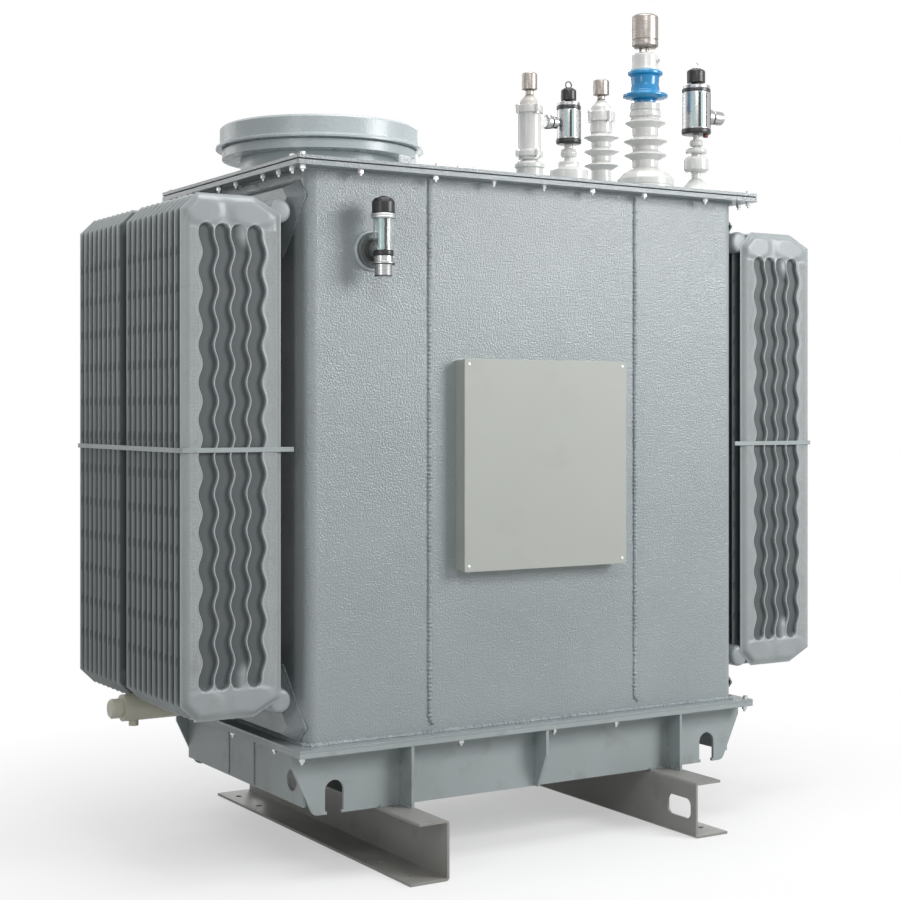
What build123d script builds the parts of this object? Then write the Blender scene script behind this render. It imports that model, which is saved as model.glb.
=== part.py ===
from build123d import *
from math import asin, cos, sin
import os

os.makedirs("parts", exist_ok=True)

# Millimetres, +Z up, +Y to the back, origin on the floor under the middle of the tank.

# Shared by every piece: the gap left round a bent or round seat, and how far a cut runs past a face.
seat_clearance = 0.3
overrun = 15.0

# Tank with its flanges, the deck under it, and the gasket and cover on top.
tank_length = 1627.0
tank_width = 920.0
tank_height = 1699.0
tank_corner_radius = 32.0
tank_bottom_flange_thickness = 9.0
tank_top_flange_thickness = 14.0
deck_overhang = 48.0
deck_thickness = 14.0
cover_overhang = 60.0
cover_thickness = 10.0
cover_corner_radius = 6.0
gasket_thickness = 4.0
gasket_setback = 5.0
deck_length = tank_length + 2 * deck_overhang
deck_width = tank_width + 2 * deck_overhang
cover_length = tank_length + 2 * cover_overhang
cover_width = tank_width + 2 * cover_overhang

# Skids: two bent channels along Y, open outwards.
skid_height = 178.0
skid_overhang = 178.0
skid_length = deck_width + 2 * skid_overhang
skid_flange_width = 132.0
skid_top_flange_width = 102.0
skid_thickness = 8.0
skid_bend_radius = 12.0
skid_web_spacing = 926.0
skid_window_length = 118.0
skid_window_height = 65.0
skid_window_radius = 22.0
skid_window_end_margin = 26.0
skid_hole_radius = 11.0
skid_hole_outer_margin = 86.0
skid_hole_pitch = 170.0
skid_hole_edge_margin = 43.0

# Base frame: eared beams in front and behind, and end plates between them.
base_height = 187.0
base_plate_thickness = 10.0
base_beam_recess = 68.0
base_ear_margin = 6.0
base_ear_shoulder = 35.0
base_ear_foot_inset = 72.0
base_ear_radius = 26.0
base_slot_width = 62.0
base_slot_height = 100.0
base_slot_inset = 142.0
base_slot_lip_width = 6.0
base_slot_lip_height = 9.0
base_end_plate_rise = 27.0
base_end_hole_radius = 32.0
base_end_hole_inset = 72.0
base_end_hole_drop = 92.0

# Ribs that stand in front of and behind the base beams.
rib_thickness = 10.0
rib_left_x = -482.0
rib_middle_x = 10.0
rib_right_x = 549.0
rib_middle_straight = 76.0
rib_middle_foot = 16.0
rib_edge_setback = 2.0

# Pressed radiator panels. Every panel stands the same way round, with its left edge to the left.
panel_width = 314.0
panel_foot_height = 99.0
panel_head_room = 91.0
panel_rim_thickness = 3.0
panel_left_cut_width = 48.0
panel_left_cut_height = 47.0
panel_right_cut_width = 88.0
panel_right_cut_height = 45.0
panel_body_thickness = 20.0
panel_body_slope = 72.0
panel_header_thickness = 35.0
panel_header_height = 78.0
panel_header_margin = 13.0
panel_header_slope = 40.0
panel_valley_x = 138.0
panel_valley_width = 40.0
panel_valley_depth = 9.0

# Wavy channels sunk into the outward face of the first and last panel of each bank.
channel_count = 4
channel_first_x = 80.0
channel_pitch = 50.5
channel_width = 45.0
channel_wave_length = 106.5
channel_wave_count = 12
channel_wave_height = 6.5
channel_end_straight = 7.0

# Banks of panels and the pipes that carry them.
panel_pitch = 42.0
front_panel_count = 11
back_panel_count = 9
group_gap = 86.0
bank_gap = 67.5
header_pipe_radius = 36.0
header_pipe_drop = 36.0
header_pipe_end_bevel = 8.0
header_stub_radius = 26.0
header_duct_depth = 30.0
header_duct_side_margin = 7.0
header_duct_length = tank_width - 2 * header_duct_side_margin
header_duct_near_height = 48.0
header_duct_far_height = 166.0
header_duct_slope_share = 0.91
header_duct_foot_margin = 54.0
header_duct_top_margin = 81.0

# Strap round each radiator bank.
strap_height = 14.0
strap_thickness = 5.0
strap_level = 767.0
strap_tail = 36.0
strap_bend_radius = 5.0

# Round hatch on the cover.
hatch_left_margin = 337.5
hatch_neck_radius = 256.0
hatch_neck_height = 66.0
hatch_flange_radius = 316.0
hatch_flange_thickness = 28.0
hatch_gasket_radius = 308.0
hatch_gasket_thickness = 4.0
hatch_lip_radius = 336.0
hatch_lip_height = 13.0
hatch_lid_radius = 323.0
hatch_lid_height = 70.0
hatch_lid_bevel = 7.0

# Row of bushings and gauges along the front of the cover, spaced from its right end.
row_margin = 150.0
right_gauge_margin = 147.5
high_pitch = 222.0
middle_pitch = 184.0
left_gauge_pitch = 132.0
low_pitch = 155.0

# Clamp rings carry lugs for their bolts.
lug_count = 4
lug_radius = 8.0

# Low bushing: a smooth body between two clamp rings.
low_foot_radius = 44.0
low_foot_height = 41.0
low_disc_radius = 49.0
low_disc_height = 21.0
low_disc_bevel = 6.0
low_waist_radius = 27.5
low_waist_height = 6.5
low_seat_radius = 37.0
low_seat_height = 10.0
low_ring_radius = 45.0
low_lower_ring_height = 19.0
low_upper_ring_height = 26.0
low_body_radius = 38.5
low_body_height = 121.5
low_cone_radius = 33.0
low_cone_shoulder_radius = 31.0
low_cone_shoulder_height = 13.0
low_cone_tip_radius = 16.0
low_cone_height = 32.0
low_neck_radius = 13.0
low_neck_height = 16.0
low_terminal_radius = 25.0
low_terminal_height = 58.0
terminal_bevel = 3.0

# Middle bushing: three sheds under a clamp ring with a dome.
middle_body_radius = 33.0
middle_body_height = 218.5
middle_shed_radius = 60.0
middle_shed_height = 26.0
middle_shed_first = 59.0
middle_shed_pitch = 46.5
middle_shed_count = 3
middle_collar_radius = 37.0
middle_clamp_radius = 46.5
middle_clamp_height = 31.5
middle_dome_radius = 36.0
middle_dome_shoulder_radius = 34.0
middle_dome_shoulder_height = 18.0
middle_dome_tip_radius = 13.0
middle_dome_height = 41.5
middle_neck_radius = 12.0
middle_neck_height = 11.5
middle_terminal_radius = 26.5
middle_terminal_height = 54.0

# Sheds: where the tip starts between the roots, and its thickness.
shed_tip_share = 0.4
shed_tip_height = 4.0

# High bushing: domed foot, three sheds, collar, blue spool, head and a tall terminal on studs.
high_foot_radius = 97.0
high_foot_height = 38.0
high_dome_shoulder_radius = 80.0
high_dome_shoulder_height = 21.0
high_dome_tip_radius = 48.0
high_dome_height = 39.0
high_body_radius = 44.5
high_body_height = 251.0
high_shed_height = 31.0
high_low_shed_radius = 74.0
high_low_shed_level = 105.5
high_middle_shed_radius = 76.0
high_middle_shed_level = 155.0
high_top_shed_radius = 71.0
high_top_shed_level = 211.5
high_lower_collar_radius = 54.0
high_lower_collar_height = 17.5
high_collar_gap_radius = 48.0
high_collar_gap = 3.5
high_upper_collar_radius = 51.0
high_upper_collar_height = 24.0
high_spool_height = 115.0
high_spool_tip_radius = 37.0
high_spool_tip_height = 10.0
high_spool_flange_radius = 77.0
high_spool_flange_height = 14.0
high_spool_flange_drop = 7.0
high_spool_flange_rise = 12.0
high_spool_flange_bevel = 4.0
high_spool_foot_radius = 51.0
high_spool_waist_radius = 47.0
high_spool_top_radius = 60.0
high_spool_top_height = 20.0
high_spool_top_bevel = 5.0
high_head_radius = 45.0
high_head_height = 53.0
high_head_bevel = 4.0
high_stud_count = 3
high_stud_radius = 4.5
high_stud_circle = 15.0
high_stud_height = 17.0
high_terminal_radius = 45.0
high_terminal_height = 114.5
high_terminal_foot_radius = 35.0
high_terminal_foot_height = 9.0
high_terminal_bevel = 7.0
high_groove_depth = 2.5
high_groove_height = 4.0
high_groove_rise = 25.0

# Sight gauges: a fitting with a ball joint, a barrel with a bleed knob, and a rubber cap with an eye.
gauge_bevel_height = 10.0
gauge_ring_height = 19.0
gauge_ring_step = 1.0
gauge_ring_bevel = 5.0
gauge_eye_radius = 13.5
gauge_eye_wire = 4.0
gauge_cap_bevel = 4.0
ball_bevel = 8.0
left_gauge_foot_radius = 63.0
left_gauge_foot_height = 50.0
left_gauge_foot_bevel = 3.0
left_gauge_step_radius = 36.0
left_gauge_slope_height = 12.0
left_gauge_step_height = 12.0
left_gauge_neck_radius = 15.0
left_gauge_neck_height = 14.0
left_gauge_ball_radius = 28.0
left_gauge_ball_height = 30.0
left_gauge_barrel_radius = 40.5
left_gauge_barrel_height = 136.0
left_gauge_barrel_tip_radius = 28.0
left_gauge_cap_radius = 25.5
left_gauge_cap_height = 43.0
left_gauge_cap_neck_radius = 13.0
left_gauge_cap_neck_height = 7.0
left_gauge_knob_level = 67.0
left_knob_stem_radius = 9.0
left_knob_stem_length = 50.0
left_knob_nut_radius = 20.0
left_knob_nut_length = 18.0
left_knob_gap = 5.0
left_knob_radius = 24.0
left_knob_length = 21.0
right_gauge_foot_radius = 60.0
right_gauge_foot_height = 20.0
right_gauge_cone_radius = 24.0
right_gauge_cone_height = 35.0
right_gauge_neck_radius = 17.0
right_gauge_neck_height = 26.0
right_gauge_body_radius = 44.0
right_gauge_body_height = 51.5
right_gauge_body_bevel = 5.0
right_gauge_ring_radius = 38.0
right_gauge_ring_height = 17.5
right_gauge_ring_gap = 12.0
right_gauge_ball_radius = 25.0
right_gauge_ball_height = 26.0
right_gauge_ball_gap = 5.0
right_gauge_stem_radius = 11.0
right_gauge_stem_height = 17.0
right_gauge_barrel_radius = 50.5
right_gauge_barrel_height = 167.0
right_gauge_barrel_tip_radius = 30.0
right_gauge_cap_radius = 32.0
right_gauge_cap_height = 50.0
right_gauge_cap_neck_radius = 17.0
right_gauge_cap_neck_height = 10.5
right_gauge_knob_level = 65.5
right_knob_flange_radius = 28.0
right_knob_flange_reach = 66.0
right_knob_gap_radius = 10.0
right_knob_gap = 4.0
right_knob_radius = 24.0
right_knob_length = 46.0
lever_thickness = 12.0
lever_start = 15.0
lever_reach = 138.0
lever_root_height = 34.0
lever_tip_height = 9.0
lever_top_level = 62.0

# Gauge on the front wall, carried by a flanged stub.
front_gauge_left_margin = 215.5
front_gauge_drop = 234.0
front_gauge_reach = 92.0
front_flange_radius = 61.0
front_flange_thickness = 10.0
front_ring_radius = 52.0
front_ring_thickness = 12.0
front_seal_radius = 34.0
front_seal_thickness = 6.0
front_stub_radius = 30.0
front_gauge_body_rise = 83.0
front_body_foot_radius = 23.5
front_body_foot_height = 21.0
front_body_taper_height = 17.0
front_body_lip_radius = 35.0
front_body_lip_height = 6.0
front_body_radius = 28.5
front_body_height = 62.0
front_ring_height = 15.0
front_gauge_glass_radius = 30.0
front_gauge_glass_height = 94.0
front_gauge_band_radius = 37.0
front_gauge_band_height = 15.0
front_gauge_cap_radius = 34.0
front_gauge_cap_side = 35.0
front_gauge_cap_shoulder_radius = 29.0
front_gauge_cap_shoulder = 9.0
front_gauge_cap_tip_radius = 5.0
front_gauge_cap_height = 53.0

# Flat cabinet on the front wall.
cabinet_x = 5.0
cabinet_width = 618.0
cabinet_height = 654.0
cabinet_depth = 55.0
cabinet_rise = 491.0
cabinet_cover_thickness = 12.0
cabinet_seam = 2.0
cabinet_radius = 4.0

# Drain valve under the left bank.
drain_rise = 75.0
drain_neck_radius = 22.0
drain_neck_length = 92.0
drain_radius = 41.0
drain_cap_radius = 30.0
drain_cap_length = 31.0
drain_groove_radius = 25.0
drain_groove_length = 8.0
drain_cap_bevel = 5.0
drain_plug_radius = 15.0
drain_plug_height = 15.0
drain_plug_inset = 38.0

# Levels and places that follow from the stack.
base_top = skid_height + base_height
deck_top = base_top + deck_thickness
tank_foot = deck_top + tank_bottom_flange_thickness
tank_top = tank_foot + tank_height
flange_top = tank_top + tank_top_flange_thickness
cover_bottom = flange_top + gasket_thickness
cover_top = cover_bottom + cover_thickness
tank_front_y = -tank_width / 2
tank_end_x = tank_length / 2
panel_foot = tank_foot + panel_foot_height
panel_height = tank_height - panel_foot_height - panel_head_room
bank_depth = (front_panel_count - 1 + back_panel_count - 1) * panel_pitch + group_gap
bank_front_y = -bank_depth / 2
back_group_y = bank_front_y + (front_panel_count - 1) * panel_pitch + group_gap
bank_inner_x = tank_end_x + bank_gap
bank_outer_x = bank_inner_x + panel_width
hatch_x = hatch_left_margin - cover_length / 2
row_y = row_margin - cover_width / 2
right_gauge_x = cover_length / 2 - right_gauge_margin
high_x = right_gauge_x - high_pitch
middle_x = high_x - middle_pitch
left_gauge_x = middle_x - left_gauge_pitch
low_x = left_gauge_x - low_pitch
front_gauge_x = front_gauge_left_margin - tank_end_x


def mirrored_x(piece):
    return mirror(piece, about=Plane.YZ)


def mirrored_y(piece):
    return mirror(piece, about=Plane.XZ)


def half_turned(piece):
    """The same piece, turned to the other side of the tank."""
    return Rotation(0, 0, 180) * piece


def both_sides(piece, mirrored):
    """Two like solids that share a node."""
    return Compound(children=[piece, mirrored(piece)])


def plate(length, width, thickness, level, radius=0):
    outline = RectangleRounded(length, width, radius) if radius else Rectangle(length, width)
    return Pos(0, 0, level) * extrude(outline, amount=thickness)


def turned(outline):
    """A solid of revolution about Z from (radius, height) corners listed upwards along its outside."""
    face = Polygon((0, outline[0][1]), *outline, (0, outline[-1][1]), align=None)
    return revolve(Plane.XZ * face, axis=Axis.Z)


def steps(*pairs):
    """Outline of stacked cylinders from (radius, height) pairs, with a bevel on top as a third value."""
    level = 0
    outline = []
    for radius, height, *bevels in pairs:
        outline.append((radius, level))
        level += height
        for bevel in bevels:
            outline.append((radius, level - bevel))
            radius -= bevel
        outline.append((radius, level))
    return outline


def raised(outline, level):
    """The same outline, lifted by a level."""
    return [(radius, level + height) for radius, height in outline]


def ring_of(count, circle, piece):
    """Copies of a piece on a circle about Z."""
    return [Rotation(0, 0, index * 360 / count) * (Pos(circle, 0, 0) * piece) for index in range(count)]


# Skids

def skid():
    """Right skid: the web is on the inside, both flanges point outwards, and a window is near its front."""
    outer = Pos(skid_flange_width / 2, skid_height / 2) * Rectangle(skid_flange_width, skid_height)
    hollow_height = skid_height - 2 * skid_thickness
    hollow = Pos(skid_thickness + skid_flange_width / 2, skid_height / 2) * Rectangle(
        skid_flange_width, hollow_height
    )
    trim = Pos(skid_top_flange_width + skid_flange_width / 2, skid_height) * Rectangle(
        skid_flange_width, skid_height
    )
    section = outer - hollow - trim
    bends = section.vertices().sort_by(Axis.X)[:2]
    section = fillet(bends, skid_bend_radius)
    beam = Pos(skid_web_spacing / 2, skid_length / 2, 0) * extrude(Plane.XZ * section, amount=skid_length)
    window_y = skid_length / 2 - skid_window_end_margin - skid_window_length / 2
    window = Plane.YZ * RectangleRounded(skid_window_length, skid_window_height, skid_window_radius)
    cutter = extrude(window, amount=skid_thickness + overrun, both=True)
    beam -= Pos(skid_web_spacing / 2, -window_y, skid_height / 2) * cutter
    hole_x = skid_web_spacing / 2 + skid_flange_width - skid_hole_edge_margin
    hole = Cylinder(skid_hole_radius, skid_thickness + overrun)
    for end in (-1, 1):
        outer_y = skid_length / 2 - skid_hole_outer_margin
        for hole_y in (outer_y, outer_y - skid_hole_pitch):
            beam -= Pos(hole_x, end * hole_y, 0) * hole
    return beam


# Base frame

def base_beam():
    """Front beam: a plate with tapered ears, each with an arched slot that narrows at its foot."""
    top_half = deck_length / 2 - base_ear_margin
    foot_half = top_half - base_ear_foot_inset
    shoulder = base_height - base_ear_shoulder
    outline = Polygon(
        (-top_half, base_height),
        (-top_half, shoulder),
        (-foot_half, 0),
        (foot_half, 0),
        (top_half, shoulder),
        (top_half, base_height),
        align=None,
    )
    feet = outline.vertices().sort_by(Axis.Y)[:2]
    outline = fillet(feet, base_ear_radius)
    arch_radius = base_slot_width / 2
    slot_straight = base_slot_height - arch_radius - base_slot_lip_height
    straight = Pos(0, base_slot_lip_height + slot_straight / 2) * Rectangle(base_slot_width, slot_straight)
    arch = Pos(0, base_slot_lip_height + slot_straight) * Circle(arch_radius)
    mouth_width = base_slot_width - 2 * base_slot_lip_width
    mouth = Pos(0, (base_slot_lip_height - overrun) / 2) * Rectangle(
        mouth_width, base_slot_lip_height + overrun
    )
    slot = straight + arch + mouth
    for end in (-1, 1):
        outline -= Pos(end * (top_half - base_slot_inset), 0) * slot
    beam = extrude(Plane.XZ * outline, amount=base_plate_thickness)
    beam_y = base_beam_recess - deck_width / 2 + base_plate_thickness
    return Pos(0, beam_y, skid_height) * beam


def base_end_plate():
    """Right end plate, flush with the tank's end wall, with a hole near its back."""
    inner_half = deck_width / 2 - base_beam_recess - base_plate_thickness
    height = base_height - base_end_plate_rise
    middle_x = tank_end_x - base_plate_thickness / 2
    end_plate = Pos(middle_x, 0, base_top - height / 2) * Box(base_plate_thickness, 2 * inner_half, height)
    hole = Cylinder(base_end_hole_radius, base_plate_thickness + overrun, rotation=(0, 90, 0))
    hole_y = inner_half - base_end_hole_inset
    return end_plate - Pos(middle_x, hole_y, base_top - base_end_hole_drop) * hole


def rib(x, outline):
    """A standing rib: its outline is (reach in front of the beam, height) corners."""
    face = Plane.YZ * Polygon(*outline, align=None)
    beam_face_y = base_beam_recess - deck_width / 2
    return Pos(x, beam_face_y, skid_height) * extrude(face, amount=rib_thickness / 2, both=True)


def base_ribs():
    reach = rib_edge_setback - base_beam_recess
    full = [(0, 0), (reach, 0), (reach, base_height), (0, base_height)]
    knee = base_height - rib_middle_straight
    tapered = [(0, 0), (-rib_middle_foot, 0), (reach, knee), (reach, base_height), (0, base_height)]
    return [rib(rib_left_x, full), rib(rib_middle_x, tapered), rib(rib_right_x, full)]


# Radiators

def panel_outline(inset=0):
    """Outline of a pressed panel from its lower left corner, with the right corners cut the wider."""
    right_cut_x = panel_width - panel_right_cut_width
    outline = Polygon(
        (panel_left_cut_width, 0),
        (right_cut_x, 0),
        (panel_width, panel_right_cut_height),
        (panel_width, panel_height - panel_right_cut_height),
        (right_cut_x, panel_height),
        (panel_left_cut_width, panel_height),
        (0, panel_height - panel_left_cut_height),
        (0, panel_left_cut_height),
        align=None,
    )
    return offset(outline, -inset, kind=Kind.INTERSECTION) if inset else outline


def header_outline(end):
    """Part of the panel's outline that swells out over a header: end is 1 at the top, -1 at the foot."""
    middle_z = panel_height / 2 + end * (panel_height - panel_header_height) / 2
    zone = Pos(panel_width / 2, middle_z) * Rectangle(panel_width, panel_header_height)
    return panel_outline(panel_header_margin) & zone


def pressing(side, shaped):
    """Half of a panel: its domed body and the swelling over each header, in front where side is -1."""
    height = (panel_body_thickness - panel_rim_thickness) / 2
    body = Pos(0, side * panel_rim_thickness / 2, 0) * extrude(
        Plane.XZ * panel_outline(), amount=-side * height, taper=panel_body_slope
    )
    headers = [
        extrude(
            Plane.XZ * header_outline(end),
            amount=-side * panel_header_thickness / 2,
            taper=panel_header_slope,
        )
        for end in (-1, 1)
    ]
    if shaped:
        body -= channels(side)
        headers = [header - valley(side) for header in headers]
    return [body, *headers]


def panel(shaped_side=0):
    """One pressed panel in the XZ plane. Its outward side, if it has one, is shaped in full."""
    rim = extrude(Plane.XZ * panel_outline(), amount=panel_rim_thickness / 2, both=True)
    return Part() + [rim, *pressing(-1, shaped_side == -1), *pressing(1, shaped_side == 1)]


def channel_edge(x, foot):
    """One wavy edge of a channel from its foot up, in half-wave arcs that swing left and right in turn."""
    quarter = channel_wave_length / 4
    radius = (channel_wave_height**2 + quarter**2) / (2 * channel_wave_height)
    half_angle = asin(quarter / radius) / 2
    shoulder = channel_wave_height - radius * (1 - cos(half_angle))
    rise = radius * sin(half_angle)
    top = foot + channel_wave_count * channel_wave_length
    first = (x - channel_wave_height, foot)
    last = (x - channel_wave_height, top)
    edge = ThreePointArc(first, (x - shoulder, foot + rise), (x, foot + quarter))
    for index in range(1, 2 * channel_wave_count):
        swing = channel_wave_height if index % 2 else -channel_wave_height
        level = foot + 2 * index * quarter
        edge += ThreePointArc((x, level - quarter), (x + swing, level), (x, level + quarter))
    return edge + ThreePointArc((x, top - quarter), (x - shoulder, top - rise), last)


def channel(x):
    """Outline of one wavy channel, with a round end at its foot and top."""
    run = channel_wave_count * channel_wave_length
    foot = (panel_height - run) / 2
    left_x = x - channel_width / 2
    right_x = x + channel_width / 2
    outline = channel_edge(left_x, foot) + channel_edge(right_x, foot)
    for level, end in ((foot, -1), (foot + run, 1)):
        turn = level + end * channel_end_straight
        left = left_x - channel_wave_height
        right = right_x - channel_wave_height
        crown = turn + end * channel_width / 2
        outline += Line((left, level), (left, turn))
        outline += ThreePointArc((left, turn), (x - channel_wave_height, crown), (right, turn))
        outline += Line((right, level), (right, turn))
    return make_face(outline)


def channels(side):
    """The wavy channels, cut through the body down to the rim."""
    cutters = []
    for index in range(channel_count):
        face = Plane.XZ * channel(channel_first_x + index * channel_pitch)
        cutters.append(extrude(face, amount=-side * (panel_body_thickness + overrun)))
    return cutters


def valley(side):
    """The groove that parts a header's swelling into two lobes."""
    face_y = side * panel_header_thickness / 2
    depth = side * panel_valley_depth
    outline = Polygon(
        (-panel_valley_width, face_y + depth),
        (0, face_y - depth),
        (panel_valley_width, face_y + depth),
        align=None,
    )
    return Pos(panel_valley_x, 0, 0) * extrude(outline, amount=panel_height, dir=(0, 0, 1))


def header_pipe(length):
    pipe = Cylinder(header_pipe_radius, length, rotation=(90, 0, 0))
    ends = pipe.edges().filter_by(GeomType.CIRCLE)
    return chamfer(ends, header_pipe_end_bevel)


def radiator(count, first_y, side, outward):
    """One group of panels on its upper and lower header pipe.

    Side is 1 for the right bank and -1 for the left. Outward is -1 where the first panel faces the front,
    and 1 where the last one faces the back.
    """
    panels_x = bank_inner_x if side == 1 else -bank_outer_x
    duct_face_x = tank_end_x + header_duct_depth
    run = (count - 1) * panel_pitch
    middle_y = first_y + run / 2
    pipe = header_pipe(run)
    stub_length = bank_inner_x - duct_face_x
    stub = Cylinder(header_stub_radius, stub_length, rotation=(0, 90, 0))
    plain = panel()
    shaped = panel(outward)
    shaped_index = 0 if outward == -1 else count - 1
    pieces = []
    for index in range(count):
        pressed = shaped if index == shaped_index else plain
        pieces.append(Pos(panels_x, first_y + index * panel_pitch, panel_foot) * pressed)
    for level in (panel_foot + header_pipe_drop, panel_foot + panel_height - header_pipe_drop):
        pieces.append(Pos(side * bank_inner_x, middle_y, level) * pipe)
        for end in (-1, 1):
            stub_x = side * (duct_face_x + stub_length / 2)
            pieces.append(Pos(stub_x, middle_y + end * run / 4, level) * stub)
    return Part() + pieces


def header_duct(level, near):
    """A pointed duct on the right end wall. Near is 1 where the tank's top is near, -1 where its foot is."""
    half = header_duct_length / 2
    near_half = half - header_duct_near_height * header_duct_slope_share
    far_half = half - header_duct_far_height * header_duct_slope_share
    near_level = near * header_duct_near_height
    far_level = -near * header_duct_far_height
    outline = Polygon(
        (-half, 0),
        (-far_half, far_level),
        (far_half, far_level),
        (half, 0),
        (near_half, near_level),
        (-near_half, near_level),
        align=None,
    )
    duct = extrude(Plane.YZ * outline, amount=header_duct_depth, dir=(1, 0, 0))
    return Pos(tank_end_x, 0, level) * duct


def header_ducts():
    lower = header_duct(tank_foot + header_duct_foot_margin, -1)
    upper = header_duct(tank_top - header_duct_top_margin, 1)
    return [lower, upper]


def strap():
    """Flat strap round the right bank, open towards the tank."""
    reach_x = bank_outer_x + seat_clearance
    half_depth = (bank_depth + panel_body_thickness) / 2 + seat_clearance
    start_x = bank_inner_x - strap_tail
    length = reach_x - start_x
    inside = RectangleRounded(2 * length, 2 * half_depth, strap_bend_radius)
    outside = RectangleRounded(
        2 * (length + strap_thickness),
        2 * (half_depth + strap_thickness),
        strap_bend_radius + strap_thickness,
    )
    keep = Pos(length, 0) * Rectangle(2 * length, 2 * (half_depth + strap_thickness + overrun))
    band = (outside - inside) & keep
    return Pos(start_x, 0, panel_foot + strap_level) * extrude(band, amount=strap_height)


# Hatch on the cover

def hatch_neck():
    return Pos(hatch_x, 0, cover_top) * turned(steps((hatch_neck_radius, hatch_neck_height)))


def hatch_flange():
    outline = steps(
        (hatch_flange_radius, hatch_flange_thickness), (hatch_gasket_radius, hatch_gasket_thickness)
    )
    return Pos(hatch_x, 0, cover_top + hatch_neck_height) * turned(outline)


def hatch_lid():
    """Dished lid with a rolled lip at its foot."""
    outline = [
        (hatch_lip_radius, 0),
        (hatch_lip_radius, hatch_lip_height / 2),
        (hatch_lid_radius, hatch_lip_height),
        (hatch_lid_radius, hatch_lid_height - hatch_lid_bevel),
        (hatch_lid_radius - hatch_lid_bevel, hatch_lid_height),
    ]
    level = cover_top + hatch_neck_height + hatch_flange_thickness + hatch_gasket_thickness
    return Pos(hatch_x, 0, level) * turned(outline)


# Bushings

def on_cover(x, level, piece):
    return Pos(x, row_y, cover_top + level) * piece


def shed(body_radius, radius, level, height):
    """One shed of a bushing, sloped above and below its tip."""
    tip = level + height * shed_tip_share
    return [
        (body_radius, level),
        (radius, tip),
        (radius, tip + shed_tip_height),
        (body_radius, level + height),
    ]


def lugs(circle, level, height):
    return [
        Pos(0, 0, level + height / 2) * piece
        for piece in ring_of(lug_count, circle, Cylinder(lug_radius, height))
    ]


def low_bushing():
    outline = steps(
        (low_foot_radius, low_foot_height),
        (low_disc_radius, low_disc_height, low_disc_bevel),
        (low_waist_radius, low_waist_height),
        (low_seat_radius, low_seat_height),
        (low_ring_radius, low_lower_ring_height),
        (low_body_radius, low_body_height),
        (low_ring_radius, low_upper_ring_height),
    )
    upper_ring = outline[-2][1]
    lower_ring = outline[-6][1]
    cone = [
        (low_cone_radius, 0),
        (low_cone_shoulder_radius, low_cone_shoulder_height),
        (low_cone_tip_radius, low_cone_height),
    ]
    top = outline[-1][1]
    body = turned(outline + raised(cone, top))
    body += lugs(low_ring_radius, lower_ring, low_lower_ring_height)
    body += lugs(low_ring_radius, upper_ring, low_upper_ring_height)
    return body, top + low_cone_height


def middle_bushing():
    outline = [(middle_body_radius, 0)]
    for index in range(middle_shed_count):
        level = middle_shed_first + index * middle_shed_pitch
        outline += shed(middle_body_radius, middle_shed_radius, level, middle_shed_height)
    outline += [(middle_collar_radius, outline[-1][1]), (middle_collar_radius, middle_body_height)]
    return turned(outline), middle_body_height


def middle_clamp():
    """Clamp ring under a dome."""
    outline = steps((middle_clamp_radius, middle_clamp_height))
    dome = [
        (middle_dome_radius, 0),
        (middle_dome_shoulder_radius, middle_dome_shoulder_height),
        (middle_dome_tip_radius, middle_dome_height),
    ]
    clamp = turned(outline + raised(dome, middle_clamp_height))
    clamp += lugs(middle_clamp_radius, 0, middle_clamp_height)
    return clamp, middle_clamp_height + middle_dome_height


def high_bushing():
    outline = steps((high_foot_radius, high_foot_height))
    dome = [
        (high_dome_shoulder_radius, high_dome_shoulder_height),
        (high_dome_tip_radius, high_dome_height),
        (high_body_radius, high_dome_height),
    ]
    outline += raised(dome, high_foot_height)
    sheds = (
        (high_low_shed_radius, high_low_shed_level),
        (high_middle_shed_radius, high_middle_shed_level),
        (high_top_shed_radius, high_top_shed_level),
    )
    for radius, level in sheds:
        outline += shed(high_body_radius, radius, level, high_shed_height)
    collar = steps(
        (high_lower_collar_radius, high_lower_collar_height),
        (high_collar_gap_radius, high_collar_gap),
        (high_upper_collar_radius, high_upper_collar_height),
    )
    outline += raised(collar, high_body_height)
    return turned(outline), outline[-1][1]


def high_spool():
    """Waisted spool with a wide rounded flange at its foot and a smaller one on top."""
    flange_foot = high_spool_tip_height + high_spool_flange_drop
    flange_top_level = flange_foot + high_spool_flange_height
    top_level = high_spool_height - high_spool_top_height
    edge = high_spool_flange_radius - high_spool_flange_bevel
    outline = [
        (high_spool_tip_radius, 0),
        (high_spool_tip_radius, high_spool_tip_height),
        (edge, flange_foot),
        (high_spool_flange_radius, flange_foot + high_spool_flange_bevel),
        (high_spool_flange_radius, flange_top_level - high_spool_flange_bevel),
        (edge, flange_top_level),
        (high_spool_foot_radius, flange_top_level + high_spool_flange_rise),
        (high_spool_waist_radius, top_level),
        (high_spool_top_radius, top_level + high_spool_top_bevel),
        (high_spool_top_radius, high_spool_height - high_spool_top_bevel),
        (high_spool_top_radius - high_spool_top_bevel, high_spool_height),
    ]
    return turned(outline)


def high_terminal():
    """Tall cap with a groove near its foot, on three studs."""
    groove = high_groove_rise
    inner_radius = high_terminal_radius - high_groove_depth
    outline = [
        (high_terminal_foot_radius, 0),
        (high_terminal_radius, high_terminal_foot_height),
        (high_terminal_radius, groove),
        (inner_radius, groove),
        (inner_radius, groove + high_groove_height),
        (high_terminal_radius, groove + high_groove_height),
        (high_terminal_radius, high_terminal_height - high_terminal_bevel),
        (high_terminal_radius - high_terminal_bevel, high_terminal_height),
    ]
    terminal = turned(raised(outline, high_stud_height))
    stud = turned(steps((high_stud_radius, high_stud_height + high_groove_rise)))
    return terminal + ring_of(high_stud_count, high_stud_circle, stud)


# Gauges

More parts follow.
